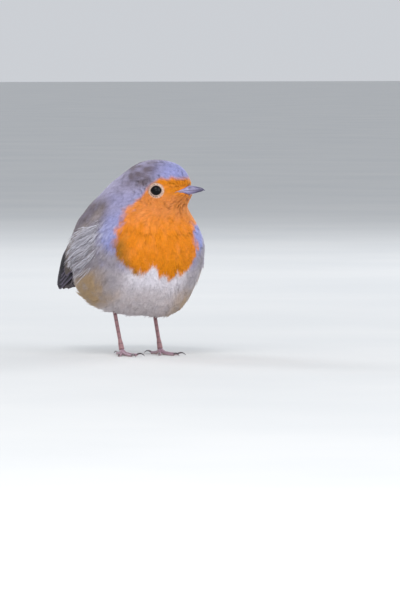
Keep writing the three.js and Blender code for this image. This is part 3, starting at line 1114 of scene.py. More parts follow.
@dataclass
class Plumage:
    """The contour feathers of one tract: each a fan of thin locks along the lie of the coat."""

    stage: Stage
    tract: Tract
    roots: Array
    normals: Array
    wings: Sequence[FoldedWing]
    rng: np.random.Generator
    steps: int = 5  # stretches along a feather
    places: Array = field(  # rings along a lock, and its point
        default_factory=lambda: np.array([0.0, 0.45, 0.82, 1.0])
    )

    def outward(self, points: Array) -> Array:
        """The way out of the plumage at places."""
        return COAT.probe(points)[1]

    def rise(self, share: Array, depth: Array, lift: Array) -> Array:
        """How high a feather lies at a share of its length, from its root on the skin to its tip."""
        return -depth * (1 - share) ** 3.4 + lift * share**2

    def over_wing(self, points: Array) -> Array:
        """How far the plumage is pushed out where it lies over a folded wing."""
        return sum(wing.rise_over(points) for wing in self.wings)

    def lines(self) -> tuple[Array, Array]:
        """The feathers' middle lines, and each one's length.

        Returns:
            Places along each feather, and the lengths.
        """
        count = len(self.roots)
        length = self.tract.length * self.rng.uniform(0.82, 1.18, count)
        length = length * (0.5 + 0.5 * smooth(3.0, 8.0, eye_distance(self.roots)))
        length = length * (0.6 + 0.4 * smooth(19.0, 13.0, HEAD.within(self.roots)[1]))
        depth = coat_depth(self.roots)
        lift = self.tract.lift * self.rng.uniform(0.2, 1.4, count)
        x, _, z = self.roots.T
        lift = lift * (1 + 2.5 * smooth(34, 25, z) + 1.0 * smooth(20, 25, x) * smooth(54, 46, z))
        turn = self.rng.normal(0, 0.07, count)
        point = COAT.settle(self.roots, -depth)
        out = [point]
        for k in range(1, self.steps + 1):
            share = k / self.steps
            normal = COAT.probe(point)[1]
            way = lie(point, normal)
            way = across(way + np.cross(normal, way) * turn[:, None], normal)
            point = point + way * (length / self.steps)[:, None]
            over = self.over_wing(point) * smooth(0, 0.5, share)
            point = COAT.settle(point, self.rise(np.array(share), depth, lift) + over, 2)
            out.append(point)
        return np.stack(out, 1), length

    def build(self, finish: Finish, slot: str) -> bpy.types.Object:
        """Makes every lock of every feather as one joined mesh.

        Args:
            finish: The finish.
            slot: Not used.

        Returns:
            The finished piece.
        """
        lines, length = self.lines()
        count, barbs = len(lines), self.tract.barbs
        rng, tract = self.rng, self.tract
        spread = np.linspace(-1, 1, barbs)[None] + rng.normal(0, 0.06, (count, barbs))
        ragged = 1 + tract.ragged * rng.normal(0, 0.5, (count, barbs))
        tip_far = np.clip((1 - 0.36 * spread**2) * ragged, 0.3, 1.25)
        start_far = 0.3 - 0.24 * np.abs(spread) + rng.normal(0, 0.03, spread.shape)
        start_far = np.clip(start_far, 0.02, 0.5)
        tip_side = tract.half_width * np.sin(spread * 1.25) / math.sin(1.25)
        tip_side = tip_side * rng.uniform(0.9, 1.1, (count, 1))
        s = self.places[None, None]
        far = start_far[..., None] + (tip_far - start_far)[..., None] * s
        wide = tip_side[..., None] * (0.35 * s + 0.65 * s * s)
        place = np.clip(far, 0, 0.9999) * self.steps
        low = np.minimum(place.astype(int), self.steps - 1)
        part = (far * self.steps - low)[..., None]
        rows = np.arange(count)[:, None, None]
        a, b = lines[rows, low], lines[rows, low + 1]
        centre, way = a + (b - a) * part, unit(b - a)
        normal = self.outward(centre)
        side = unit(np.cross(way, normal))
        layer = rng.uniform(-0.15, 0.15, (count, barbs, 1)) * (0.4 + tract.lift)
        height = layer - 0.012 * wide**2
        points = centre + side * wide[..., None] + normal * height[..., None]
        return self.locks(points, normal, finish)

    def locks(self, points: Array, normal: Array, finish: Finish) -> bpy.types.Object:
        """Gives lines of points their thickness.

        Args:
            points: For each feather and lock, its places from root to tip.
            normal: The way out of the coat at each.
            finish: The finish.

        Returns:
            The finished piece.
        """
        count, barbs, stations = points.shape[:3]
        tufts = count * barbs
        points = points.reshape(tufts, stations, 3)
        normal = normal.reshape(tufts, stations, 3)
        way = unit(np.gradient(points, axis=1))
        side = unit(np.cross(way, normal))
        s = self.places
        half = self.tract.thick * (0.75 + 0.5 * s)[:-1]
        ring, glow = [], []
        for turn, flat in ((90, 0.35), (210, 0.5), (330, 0.5)):
            c, h = math.cos(math.radians(turn)), math.sin(math.radians(turn)) * flat
            off = side[:, :-1] * c + normal[:, :-1] * h
            ring.append(points[:, :-1] + off * half[None, :, None])
            glow.append(side[:, :-1] * c * 0.22 + normal[:, :-1])
        rings = np.stack(ring, 2).reshape(tufts, (stations - 1) * 3, 3)
        body = np.concatenate([rings, points[:, -1:]], 1)
        tips = normal[:, -1:] + way[:, -1:] * 0.3
        soft = np.concatenate([np.stack(glow, 2).reshape(rings.shape), tips], 1)
        each = body.shape[1]
        faces = [(0, 1, 2)]
        for k in range(stations - 2):
            for j in range(3):
                p, q = 3 * k + j, 3 * k + (j + 1) % 3
                faces += [(q + 3, q, p), (p + 3, q + 3, p)]
        last = 3 * (stations - 2)
        faces += [(each - 1, last + (j + 1) % 3, last + j) for j in range(3)]
        pattern = np.array(faces)
        first = (np.arange(tufts) * each)[:, None, None]
        triangles = (pattern[None] + first).reshape(-1, 3)
        share = np.concatenate([np.repeat(s[:-1], 3), [1.0]])
        roots = np.repeat(self.roots, barbs, axis=0)
        middle = points[:, -1:] * 0.6 + points[:, 1:2] * 0.4
        colour = plumage_colour(points * 0.65 + middle * 0.35)
        colour = np.concatenate([np.repeat(colour[:, :-1], 3, axis=1), colour[:, -1:]], 1)
        colour = colour * (0.92 + 0.12 * share)[None, :, None]
        pale = self.rng.uniform(0, 1, (tufts, 1)) < self.tract.silver
        colour = mix(colour, Tone.SILVER, pale * 0.8)
        colour = colour * self.rng.uniform(0.94, 1.06, (tufts, 1, 1))
        corner = np.concatenate([np.tile([0.0, 0.5, 1.0], stations - 1), [0.5]])
        patch = np.stack([share - 0.5, corner - 0.5], -1) * PATCH
        jitter = self.rng.uniform(-1, 1, (tufts, 1, 2)) * PATCH
        uv = (unwrap(roots)[:, None] + patch[None] + jitter).reshape(-1, 2)
        obj = mesh_object(
            self.tract.name,
            self.stage.metres(body.reshape(-1, 3)),
            triangles,
            colour.reshape(-1, 3),
            {"OFBake": uv},
            unit(soft.reshape(-1, 3)),
        )
        return finished(obj, self.tract.name, finish)


@dataclass
class TailCoverts(Plumage):
    """The feathers that cover the root of the tail, above it and below it."""

    surface: Callable[[Array, Array, Array], Array] = field(kw_only=True)
    above: float = field(kw_only=True)  # 1 over the tail, -1 under it

    def outward(self, points: Array) -> Array:
        """Straight off the tail."""
        low, high = self.surface(np.full(2, 20.0), np.zeros(2), np.array([0.0, self.above]))
        return np.broadcast_to(unit(high - low), points.shape)

    def lines(self) -> tuple[Array, Array]:
        """The feathers' middle lines along the tail, and each one's length.

        Returns:
            Places along each feather, and the lengths.
        """
        count = len(self.roots)
        start = self.rng.uniform(4.0, 15.0 if self.above > 0 else 18.0, count)
        over = self.rng.uniform(-4.2, 4.2, count)
        length = self.tract.length * self.rng.uniform(0.8, 1.15, count)
        share = np.linspace(0, 1, self.steps + 1)[None]
        t = start[:, None] + length[:, None] * share
        u = over[:, None] * (1 - 0.25 * share)
        level = self.rng.uniform(0.9, 2.2, count)[:, None] * (1 - 0.45 * share)
        out = self.surface(t, u, self.above * (level + 0.5 * (self.above < 0) + 0.35))
        self.roots = out[:, 0]
        return out, length


def flank_plumes(
    stage: Stage, roots: Roots, wings: Sequence[FoldedWing], rng: np.random.Generator
) -> Plumage:
    """The long loose silvery plumes of the flanks, which hang over each wing's lower half.

    Args:
        stage: Where the bird is.
        roots: Every root of the coat.
        wings: The folded wings.
        rng: The random numbers to use.

    Returns:
        The plumes, not built yet.
    """
    x, y, z = roots.points.T
    here = (np.abs(x) > 19) & (y > -13) & (y < 8)
    here &= (z > 45 - 0.2 * y) & (z < 61 - 0.35 * y)
    tract = Tract("plumage_flank_plumes", 1.8, 18.0, 2.2, 13, 1.5, 0.5, 0.13, 0.6)
    return Plumage(stage, tract, roots.points[here], roots.normals[here], wings, rng, steps=7)


def tail_coverts(
    stage: Stage, tail: Tail, above: float, rng: np.random.Generator
) -> TailCoverts:
    """The coverts over the tail or under it.

    Args:
        stage: Where the bird is.
        tail: The tail.
        above: 1 for those over the tail, -1 for those under it.
        rng: The random numbers to use.

    Returns:
        The coverts, not built yet.
    """
    name = "plumage_uppertail" if above > 0 else "plumage_undertail"
    tract = Tract(name, 2.0, 13.0, 2.4, 24, 0.3, 0.3, 0.18)
    blank = np.zeros((90, 3))
    return TailCoverts(stage, tract, blank, blank, (), rng, surface=tail.surface, above=above)


# ---------- Vaned feathers: wings and tail ----------


@dataclass(frozen=True)
class Vane:
    """One stiff feather, placed on a wing or the tail.

    Start and end are places along and across. Half_width is in millimetres, level is how high it
    lies, and tilt how much one edge lies over the other.
    """

    start: tuple[float, float]
    end: tuple[float, float]
    half_width: float
    level: float
    colour: Array
    edge: Array
    tilt: float = 0.0
    point: float = 0.55  # how far from its tip it starts to round off, in half-widths
    edge_share: float = 0.3


@dataclass
class VaneSheet:
    """Makes stiff feathers as thin closed meshes with a shaft, on any surface given by a function."""

    stage: Stage
    surface: Callable[[Array, Array, Array], Array]
    rng: np.random.Generator
    rows: int = 20
    columns: int = 9
    thickness: float = 0.14

    def spot(self, place: tuple[float, float]) -> Array:
        """The place on the surface, so far along it and across it."""
        along, over = place
        return self.surface(np.array([along], float), np.array([over], float), np.zeros(1))[0]

    def pattern(self) -> Array:
        """Works out the faces of one feather.

        Returns:
            Rows of four vertex numbers: its top, its underside and the wall round its edge.
        """
        under = self.rows * self.columns
        grid = np.arange(under).reshape(self.rows, self.columns)
        quads = [grid[:-1, :-1], grid[:-1, 1:], grid[1:, 1:], grid[1:, :-1]]
        top = np.stack(quads, -1).reshape(-1, 4)
        rim = np.concatenate([grid[0, :], grid[1:, -1], grid[-1, -2::-1], grid[-2:0:-1, 0]])
        walls = np.stack([rim, under + rim, under + np.roll(rim, -1), np.roll(rim, -1)], -1)
        return np.concatenate([top, (top + under)[:, ::-1], walls])

    def build(
        self,
        name: str,
        vanes: Sequence[Vane],
        finish: Finish,
        slot: str,
        replaced: Iterable[str],
    ) -> bpy.types.Object:
        """Makes the feathers as one joined mesh.

        Args:
            name: The piece's name.
            vanes: The feathers.
            finish: The finish.
            slot: Not used.
            replaced: CAD nodes that the piece stands for.

        Returns:
            The finished piece.
        """
        points, colours, faces, maps, bakes = [], [], [], [], []
        a = np.linspace(0, 1, self.rows)[:, None] ** 0.9
        b = np.linspace(-1, 1, self.columns)[None]
        pattern, each = self.pattern(), 2 * self.rows * self.columns
        for k, vane in enumerate(vanes):
            (t0, u0), (t1, u1) = vane.start, vane.end
            length = max(np.linalg.norm(self.spot(vane.end) - self.spot(vane.start)), 1e-3)
            to_tip = (1 - a) * length / vane.half_width
            near_tip = np.clip(1 - to_tip / (2 * vane.point), 0, 1)
            round_off = np.sqrt(np.clip(1 - near_tip**2, 0.0, 1))
            wide = vane.half_width * (0.3 + 0.7 * smooth(0, 0.3, a))
            wide = wide * np.maximum(round_off, 0.02)
            bend = 0.06 * vane.half_width * np.sin(a * math.pi) * (1 if k % 2 else -1)
            t = t0 + (t1 - t0) * a + 0 * b
            u = u0 + (u1 - u0) * a + wide * b + bend
            camber = -0.16 * vane.half_width * b**2 * 0.5
            shaft = 0.10 * np.exp(-((b / 0.14) ** 2)) * (1 - 0.7 * a)
            ripple = 0.035 * np.sin(b * 9 + a * 14 + k)
            height = vane.level + camber + shaft + ripple + vane.tilt * b
            for sign in (1, -1):
                h = height + (self.thickness / 2) * sign * (0.35 + 0.65 * (1 - np.abs(b) ** 3))
                h = h + 0 * t
                points.append(self.surface(t.ravel(), u.ravel(), h.ravel()))
                edge = smooth(1 - vane.edge_share, 1.0, np.abs(b) + 0 * a)
                tip = smooth(0.93, 1.0, a + 0 * b) * 0.5
                tone = mix(vane.colour, vane.edge, np.maximum(edge, tip))
                tone = tone * (1 - 0.35 * np.exp(-((b / 0.1) ** 2)) + 0 * a)[..., None]
                tone = tone * (0.9 + 0.12 * a + 0 * b)[..., None] * self.rng.uniform(0.94, 1.06)
                # The underside layer is painted at 0.8 of the top's brightness: painted shade.
                colours.append((tone * (1.0 if sign > 0 else 0.8)).reshape(-1, 3))
                vane_map = np.stack([b * 0.5 + 0.5 + 0 * a, a * length / 10 + 0 * b], -1)
                maps.append(vane_map.reshape(-1, 2))
                cell = np.array([k % 10, k // 10]) / 10.0
                half = 0.5 if sign < 0 else 0.0
                x = (b * 0.5 + 0.5) * 0.044 + half * 0.1 + 0 * a
                bakes.append((cell + np.stack([x, a * 0.094 + 0 * b], -1)).reshape(-1, 2))
            faces.append(pattern + each * k)
        obj = mesh_object(
            name,
            self.stage.metres(np.concatenate(points)),
            np.concatenate(faces),
            np.concatenate(colours),
            {"OFBake": np.concatenate(bakes), "Vane": np.concatenate(maps)},
        )
        turn_faces_out(obj)
        return finished(obj, name, finish, replaced)


@dataclass(frozen=True)
class FeatherRow:
    """A row of like feathers on a folded wing.

    Each pair of numbers holds for its lowest and its highest feather. Start and end are places
    along the wing, root and tip places across it as shares of its half depth, and hollow is how
    much shorter the outermost feathers are.
    """

    count: int
    start: tuple[float, float]
    end: tuple[float, float]
    root: tuple[float, float]
    tip: tuple[float, float]
    half_width: float
    level: tuple[float, float]
    tone: Array
    edge: Array
    hollow: float = 0.0
    point: float = 0.9
    rim: float = 0.25


WING_ROWS = (
    FeatherRow(  # primaries
        8, (0.55, 0.55), (1.54, 1.32), (-0.62, 0.5), (-0.5, 0.3), 4.2, (-1.1, -0.2),
        Tone.WING_DARK, Tone.WING_RIM, 0.02, 1.1, 0.08,
    ),
    FeatherRow(  # secondaries
        6, (0.4, 0.4), (1.12, 1.04), (-0.5, 0.35), (-0.55, 0.6), 3.5, (0.0, 0.45),
        Tone.WING * 0.55, Tone.WING_RIM, 0.0, 0.75, 0.16,
    ),
    FeatherRow(  # tertials
        3, (0.42, 0.42), (0.97, 0.8), (0.42, 0.72), (0.5, 0.72), 3.9, (1.1, 1.45),
        Tone.WING, Tone.WING_EDGE,
    ),
    FeatherRow(  # primary coverts and bastard wing
        5, (0.2, 0.2), (0.66, 0.5), (-0.8, -0.5), (-0.86, -0.3), 2.3, (1.0, 1.5),
        Tone.WING_DARK, Tone.WING_EDGE, 0.0, 0.8,
    ),
    FeatherRow(  # greater coverts
        9, (0.3, 0.3), (0.6, 0.62), (-0.8, 0.8), (-0.8, 0.8), 2.9, (1.25, 1.5),
        Tone.WING, Tone.WING_EDGE * 1.15, 0.05, 1.0, 0.3,
    ),
    FeatherRow(  # median coverts
        9, (0.2, 0.2), (0.45, 0.47), (-0.8, 0.8), (-0.8, 0.8), 2.7, (1.5, 1.75),
        Tone.WING * 1.15, Tone.WING_EDGE, 0.05, 1.0, 0.35,
    ),
)


@dataclass
class FoldedWing:
    """A folded wing: a strip along a line, pressed to the coat in front and free behind."""

    stage: Stage
    side: int  # 1 for the left wing, -1 for the right
    line: tuple[tuple[float, float, float], ...] = (
        (22, -13.5, 59),
        (24.6, 1, 56),
        (24.6, 14, 51.2),
        (22.4, 27, 46),
        (20.4, 38.5, 41.7),
        (19.7, 48, 37.1),
        (18.7, 57, 32.4),
        (17.9, 62, 30),
    )
    half_depth: tuple[tuple[float, float], ...] = (
        (0, 1.5), (0.07, 6), (0.2, 9.4), (0.5, 10.6), (0.76, 8), (1, 5.4), (1.3, 4.8), (1.5, 4),
    )
    level: float = -0.9  # where its middle lies in front, from the coat's surface
    loose: tuple[float, float] = (0.5, 0.95)  # where along it the coat lets go of it
    tilt: float = -0.1

    def spine(self, t: Array) -> tuple[Array, Array]:
        """The line's places and directions.

        Args:
            t: Places along it: 1 is the end of the secondaries, 1.5 the wing's tip.

        Returns:
            The places and directions.
        """
        knots = np.array(self.line, float) * np.array([self.side, 1, 1])
        ends = np.concatenate([2 * knots[:1] - knots[1:2], knots, 2 * knots[-1:] - knots[-2:-1]])
        place = np.clip(t * 4, 0, len(knots) - 1.0001)
        k = place.astype(int)
        f = (place - k)[..., None]
        p0, p1, p2, p3 = (ends[k + j] for j in range(4))
        slope = p2 - p0
        bend = 2 * p0 - 5 * p1 + 4 * p2 - p3
        twist = 3 * p1 - p0 - 3 * p2 + p3
        at = 0.5 * (2 * p1 + slope * f + bend * f**2 + twist * f**3)
        way = 0.5 * (slope + 2 * bend * f + 3 * twist * f**2)
        return at, unit(way)

    def sideways(self, way: Array) -> tuple[Array, Array]:
        """The way out of the wing, and the ways up across it for directions of its line."""
        outward = unit(np.array([self.side, 0, 0.12], float))
        return outward, unit(self.side * np.cross(outward, way))

    def surface(self, t: Array, u: Array, h: Array) -> Array:
        """Places on the wing.

        Args:
            t: Places along it.
            u: How far up across it, in millimetres.
            h: How far off the middle, in millimetres.

        Returns:
            The places.
        """
        at, way = self.spine(t)
        outward, up = self.sideways(way)
        point = at + up * u[..., None]
        hold = 1 - smooth(*self.loose, t)
        point = COAT.settle(point, self.level, 4, hold)
        normal = unit(outward + (COAT.probe(point)[1] - outward) * hold[..., None])
        return point + normal * (h - 1.7 * smooth(0.5, 0.28, t))[..., None]

    def nearest(self, points: Array) -> tuple[Array, Array]:
        """Where on the wing places are.

        Args:
            points: Places, in the bird's own millimetres.

        Returns:
            How far along it they are, and how far across as shares of its half depth.
        """
        t = np.linspace(0, 1.5, 61)
        at, way = self.spine(t)
        far = np.linalg.norm(points[..., None, :] - at, axis=-1)
        k = far.argmin(-1)
        up = self.sideways(way)[1][k]
        u = np.sum((points - at[k]) * up, -1)
        beside = np.sign(points[..., 0]) == self.side
        return t[k], np.where(beside, u / through(self.half_depth, t[k]), 9.0)

    def cover(self, points: Array) -> Array:
        """How surely the wing hides the coat: its front and lower edge stay feathered.

        Args:
            points: Places, in the bird's own millimetres.

        Returns:
            Shares from 0 to 1.
        """
        t, u = self.nearest(points)
        along = smooth(0.42, 0.52, t) * smooth(1.0, 0.8, u)
        return along * smooth(-0.6, -0.3, u) * smooth(1.12, 1.0, t)

    def rise_over(self, points: Array) -> Array:
        """How far plumage stands out to pass over the wing, in millimetres."""
        t, u = self.nearest(points)
        return 1.1 * smooth(0.22, 0.42, t) * smooth(1.15, 0.85, np.abs(u)) * smooth(1.1, 0.9, t)

    def vanes(self) -> list[Vane]:
        """Every stiff feather of the wing, the lowest layer first.

        Returns:
            The feathers.
        """
        out: list[Vane] = []
        for row in WING_ROWS:
            ranges = (row.start, row.end, row.root, row.tip, row.level)
            for i in range(row.count):
                share = i / (row.count - 1)
                t0, t1, u0, u1, level = (low + (high - low) * share for low, high in ranges)
                t1 = t1 - row.hollow * (2 * share - 1) ** 2
                start = (t0, u0 * float(through(self.half_depth, t0)))
                end = (t1, u1 * float(through(self.half_depth, t1)))
                looks = (row.half_width, level, row.tone, row.edge, self.tilt, row.point, row.rim)
                out.append(Vane(start, end, *looks))
        return out

    def build(self, finish: Finish, rng: np.random.Generator) -> bpy.types.Object:
        """Makes the wing.

        Args:
            finish: The finish.
            rng: The random numbers to use.

        Returns:
            The finished piece.
        """
        word = side_word(self.side)
        sheet = VaneSheet(self.stage, self.surface, rng)
        nodes = (f"wing_{word}", f"primaries_{word}")
        return sheet.build(f"wing_feathers_{word}", self.vanes(), finish, "wing", nodes)


@dataclass
class Tail:
    """The closed tail: twelve feathers, the middle pair on top."""

    stage: Stage
    root: tuple[float, float, float] = (-1.0, 32.0, 58.5)
    slope: float = 35.5
    yaw: float = 11.0
    feathers: int = 12
    length: float = 49.0
    half_width: float = 4.1
    spread: float = 5.5  # degrees between the outermost feathers
    root_width: float = 1.6
    sag: float = 0.3  # how much lower each feather lies than the next one inwards

    def surface(self, t: Array, u: Array, h: Array) -> Array:
        """Places on the tail.

        Args:
            t: How far along it, in millimetres.
            u: How far across it.
            h: How far off the middle, in millimetres.

        Returns:
            The places.
        """
        arch = 0.012 * u**2 + 0.0016 * (t - 10) ** 2
        local = np.stack([u, t, h - arch], -1)
        return local @ rotation(self.slope, self.yaw).T + np.array(self.root)

    def build(self, finish: Finish, rng: np.random.Generator) -> bpy.types.Object:
        """Makes the tail, its outer feathers first.

        Args:
            finish: The finish.
            rng: The random numbers to use.

        Returns:
            The finished piece.
        """
        vanes = []
        middle = (self.feathers - 1) / 2
        for i in sorted(range(self.feathers), key=lambda k: -abs(k - middle)):
            out = i / (self.feathers - 1) - 0.5
            rank = abs(i - middle) - 0.5
            reach = self.length - 2.4 * float(smooth(1.5, 5, rank)) - 0.9 * (rank < 1)
            start = (0.0, out * self.root_width)
            end = (reach, start[1] + reach * math.sin(math.radians(out * self.spread)))
            # The outer feathers carry painted shade, darkest on the outermost; only the middle pair has
            # the tail's own brown.
            tone = Tone.TAIL if rank < 1 else Tone.TAIL_SHADED * (1.0 + 0.2 * (5 - rank))
            level = -rank * self.sag + 0.05 * (i % 2)
            tilt = 0.08 * np.sign(out)
            looks = (self.half_width, level, tone, Tone.WING_EDGE, tilt, 1.1, 0.12)
            vanes.append(Vane(start, end, *looks))
        sheet = VaneSheet(self.stage, self.surface, rng)
        return sheet.build("tail_feathers", vanes, finish, "tail", ("tail",))


# ---------- Eyes, bill and legs ----------


def turn_faces_out(obj: bpy.types.Object) -> None:
    """Makes every face of a closed mesh look outwards.

    Args:
        obj: The mesh's object.
    """
    choose(obj)
    bpy.ops.object.mode_set(mode="EDIT")
    bpy.ops.mesh.select_all(action="SELECT")
    bpy.ops.mesh.normals_make_consistent(inside=False)
    bpy.ops.object.mode_set(mode="OBJECT")


def tube(rings: int, sides: int) -> bpy.types.Object:
    """A closed tube along Z, drawn out of a disc by extruding it from ring to ring.

    Args:
        rings: How many rings of corners it has.
        sides: How many corners a ring has.

    Returns:
        The tube.
    """
    clear_selection()
    bpy.ops.mesh.primitive_circle_add(vertices=sides, radius=1.0, fill_type="NGON")
    bpy.ops.object.mode_set(mode="EDIT")
    bpy.ops.mesh.select_all(action="SELECT")
    for _ in range(rings - 1):
        bpy.ops.mesh.extrude_region_move(TRANSFORM_OT_translate={"value": (0, 0, 1)})
    bpy.ops.object.mode_set(mode="OBJECT")
    return bpy.context.active_object


def shaped(
    stage: Stage,
    rings: int,
    sides: int,
    place: Callable[[Array, Array], Array],
    tint: Callable[[Array, Array], Array],
) -> bpy.types.Object:
    """Draws out a tube and shapes it.

    Args:
        stage: Where the bird is.
        rings: How many rings the tube has.
        sides: How many corners a ring has.
        place: Gives the places, in millimetres, at shares of the length and turns about it.
        tint: Gives their colours.

    Returns:
        The closed shape, smooth shaded.
    """
    obj = tube(rings, sides)
    raw = vertices(obj)
    along, turn = np.round(raw[:, 2]) / (rings - 1), np.arctan2(raw[:, 1], raw[:, 0])
    set_vertices(obj, stage.metres(place(along, turn)))
    set_tint(obj.data, tint(along, turn))
    turn_faces_out(obj)
    bpy.ops.object.shade_smooth()
    return obj


@dataclass
class Eye:
    """An eyeball with its pupil and dark iris, and the bare rim of the lids round it."""

    stage: Stage
    side: int
    radius: float = EYE_RADIUS
    opening: float = 2.32  # half the width of the opening between the lids
    lid: float = 0.36

    def frame(self) -> tuple[Array, Array, Array, Array]:
        """The eye's middle, the way it looks, and the ways to its front and its top.

        Returns:
            The four.
        """
        middle = EYE_MIDDLES[self.side]
        look = unit(COAT.probe(middle[None])[1][0])
        ahead = unit(np.cross(HEAD.out(0, 0, 1) - HEAD.out(0, 0, 0), look) * self.side)
        return middle, look, ahead, unit(np.cross(look, ahead) * -self.side)

    def ball(self, finish: Finish) -> bpy.types.Object:
        """Makes the eyeball.

        Args:
            finish: The finish.

        Returns:
            The finished piece.
        """
        middle, look, ahead, up = self.frame()

        def place(t: Array, turn: Array) -> Array:
            """Places on the ball.

            Args:
                t: Shares of the length.
                turn: Turns about it, in radians.

            Returns:
                The places, in millimetres.
            """
            polar = math.pi * (1 - t)
            far = self.radius + 0.12 * bell(polar, 0, 0.6)
            ring = np.cos(turn)[:, None] * ahead + np.sin(turn)[:, None] * up
            way = ring * np.sin(polar)[:, None] + look * np.cos(polar)[:, None]
            return middle + way * far[:, None]

        def tint(t: Array, turn: Array) -> Array:
            """The pupil's black, with the iris round it.

            Args:
                t: Shares of the length.
                turn: Turns about it, in radians.

            Returns:
                One linear colour for each.
            """
            polar = math.pi * (1 - t)
            iris = smooth(0.62, 0.7, polar) * smooth(1.25, 1.1, polar)
            return mix(Bare.PUPIL, Bare.IRIS, iris * (0.8 + 0.2 * np.sin(turn * 31)))

        word = side_word(self.side)
        ball = shaped(self.stage, 33, 40, place, tint)
        return finished(ball, f"eyeball_{word}", finish, (f"eye_{word}",))

    def rim(self, finish: Finish) -> bpy.types.Object:
        """Makes the lids' rim, which stands round the opening with a corner at each side.

        Args:
            finish: The finish.

        Returns:
            The finished piece.
        """
        middle, look, ahead, up = self.frame()
        height = math.sqrt(self.radius**2 - self.opening**2)

        def place(t: Array, turn: Array) -> Array:
            """Places on the rim, thinner above and below the eye than at its corners.

            Args:
                t: Shares of the length.
                turn: Turns about it, in radians.

            Returns:
                The places, in millimetres.
            """
            about = 2 * math.pi * t
            ring = np.cos(about)[:, None] * ahead + np.sin(about)[:, None] * up
            corner = 1 + 0.10 * np.abs(np.cos(about)) ** 8 - 0.03 * np.abs(np.sin(about))
            thick = self.lid * (1 + 0.18 * np.sin(about * 26) * smooth(-0.5, 0.8, np.cos(turn)))
            far = self.opening * corner + 0.1 + thick * np.cos(turn)
            out = height + 0.05 + thick * np.sin(turn)
            return middle + ring * far[:, None] + look * out[:, None]

        def tint(t: Array, turn: Array) -> Array:
            """Dark towards the eyeball, pale outside."""
            return mix(Bare.LID_INSIDE, Bare.LID, smooth(0.1, 0.9, np.cos(turn - 0.5)))

        word = side_word(self.side)
        rim = shaped(self.stage, 97, 10, place, tint)
        return finished(rim, f"eyelids_{word}", finish)


@dataclass
class Bill:
    """The bill: two horny halves that meet along the mouth.

    The first number of each pair is a place ahead of the head's middle, in millimetres.
    """

    stage: Stage
    root: float = 11.4
    tip: float = 24.9
    width: tuple[tuple[float, float], ...] = (
        (11.4, 6.6), (13.5, 5.7), (15.3, 3.8), (17.4, 2.25), (21, 1.3), (24, 0.6), (24.9, 0.14),
    )
    above: tuple[tuple[float, float], ...] = (
        (11.4, 0.25), (13.5, 0.5), (15.5, 1.45), (17.4, 2.35), (20.5, 1.75), (23.4, 0.95), (24.9, 0.1),
    )
    below: tuple[tuple[float, float], ...] = (
        (11.4, 0.2), (13.5, 0.5), (15.5, 1.35), (17, 1.8), (20, 1.35), (23, 0.7), (24.6, 0.1),
    )

    def half(self, upper: bool, finish: Finish) -> bpy.types.Object:
        """Makes the upper or the lower half.

        Args:
            upper: Whether it is the upper one.
            finish: The finish.

        Returns:
            The finished piece.
        """
        reach = self.tip - (0.0 if upper else 0.35) - self.root

        def place(t: Array, turn: Array) -> Array:
            """Places on the half.

            Args:
                t: Shares of the length.
                turn: Turns about it, in radians.

            Returns:
                The places, in millimetres.
            """
            ahead = self.root + reach * t**0.9
            wide = np.interp(ahead, *zip(*self.width)) * (1.0 if upper else 0.93)
            tall = np.interp(ahead, *zip(*(self.above if upper else self.below)))
            s = np.sin(turn)
            outer = s > 0 if upper else s < 0
            ridge = np.sign(s) * np.abs(s) ** (0.85 if upper else 1.0)
            up = np.where(outer, ridge * tall, s * 0.12)
            edge = 0.06 * smooth(0.5, 0.95, np.abs(np.cos(turn)))
            hook = 0.28 * smooth(0.88, 1.0, t) if upper else 0.0
            side = wide * np.sign(np.cos(turn)) * np.abs(np.cos(turn)) ** 0.9
            nostril = 0.42 * bell(ahead, 17.2, 0.8) * bell(up, 1.05, 0.36) if upper else 0.0
            lift = mouth_height(ahead) + up + (edge if upper else -edge)
            lift = lift - hook + (0.04 if upper else -0.04)
            return HEAD.out(side - nostril * np.sign(side), ahead, lift)

        def tint(t: Array, turn: Array) -> Array:
            """Grey horn with a painted sky reflection at the root, darker to the tip, with a pale edge
            at the corner of the mouth, a dark upper ridge and painted shade under the lower half.

            Args:
                t: Shares of the length.
                turn: Turns about it, in radians.

            Returns:
                One linear colour for each.
            """
            s = np.sin(turn) * (1 if upper else -1)
            # The pale blue-grey at the root is a painted sky reflection, fading to the darker horn at
            # the tip.
            base = mix(Bare.BILL_ROOT_SKY_REFLECTION, Bare.BILL_TIP, smooth(0.25, 0.95, t))
            lip = smooth(0.28, 0.05, np.abs(s)) * smooth(1.0, 0.5, t)
            colour = mix(base, mix(Bare.LIP_ROOT, Bare.LIP_TIP, smooth(0.1, 0.4, t)), lip * 0.8)
            # On the upper half this darkens the ridge; on the lower half it is painted shade along the
            # underside.
            ridge = smooth(0.45, 0.95, t) * smooth(0.2, 0.9, s) * (0.4 if upper else 0.8)
            colour = mix(colour, Bare.BILL_RIDGE_AND_SHADE, ridge)
            # A dark spot at the nostril: painted shade in its opening.
            dark = bell(t, 0.47, 0.06) * bell(s, 0.5, 0.18) if upper else 0 * t
            return mix(colour, Bare.NOSTRIL_SHADE, dark * 0.9)

        word = "upper" if upper else "lower"
        half = shaped(self.stage, 45, 28, place, tint)
        return finished(half, f"mandible_{word}", finish, (f"bill_{word}",))


@dataclass(frozen=True)
class Toe:
    """A toe: its heading from straight ahead outwards, in degrees, and sizes in millimetres."""

    heading: float
    length: float
    claw: float
    girth: float
    pads: int


TOES = {
    "middle": Toe(4, 13.4, 5.0, 0.92, 4),
    "inner": Toe(-26, 9.2, 4.1, 0.84, 3),
    "outer": Toe(30, 10.2, 4.0, 0.82, 4),
    "hind": Toe(188, 7.8, 6.0, 0.92, 2),
}


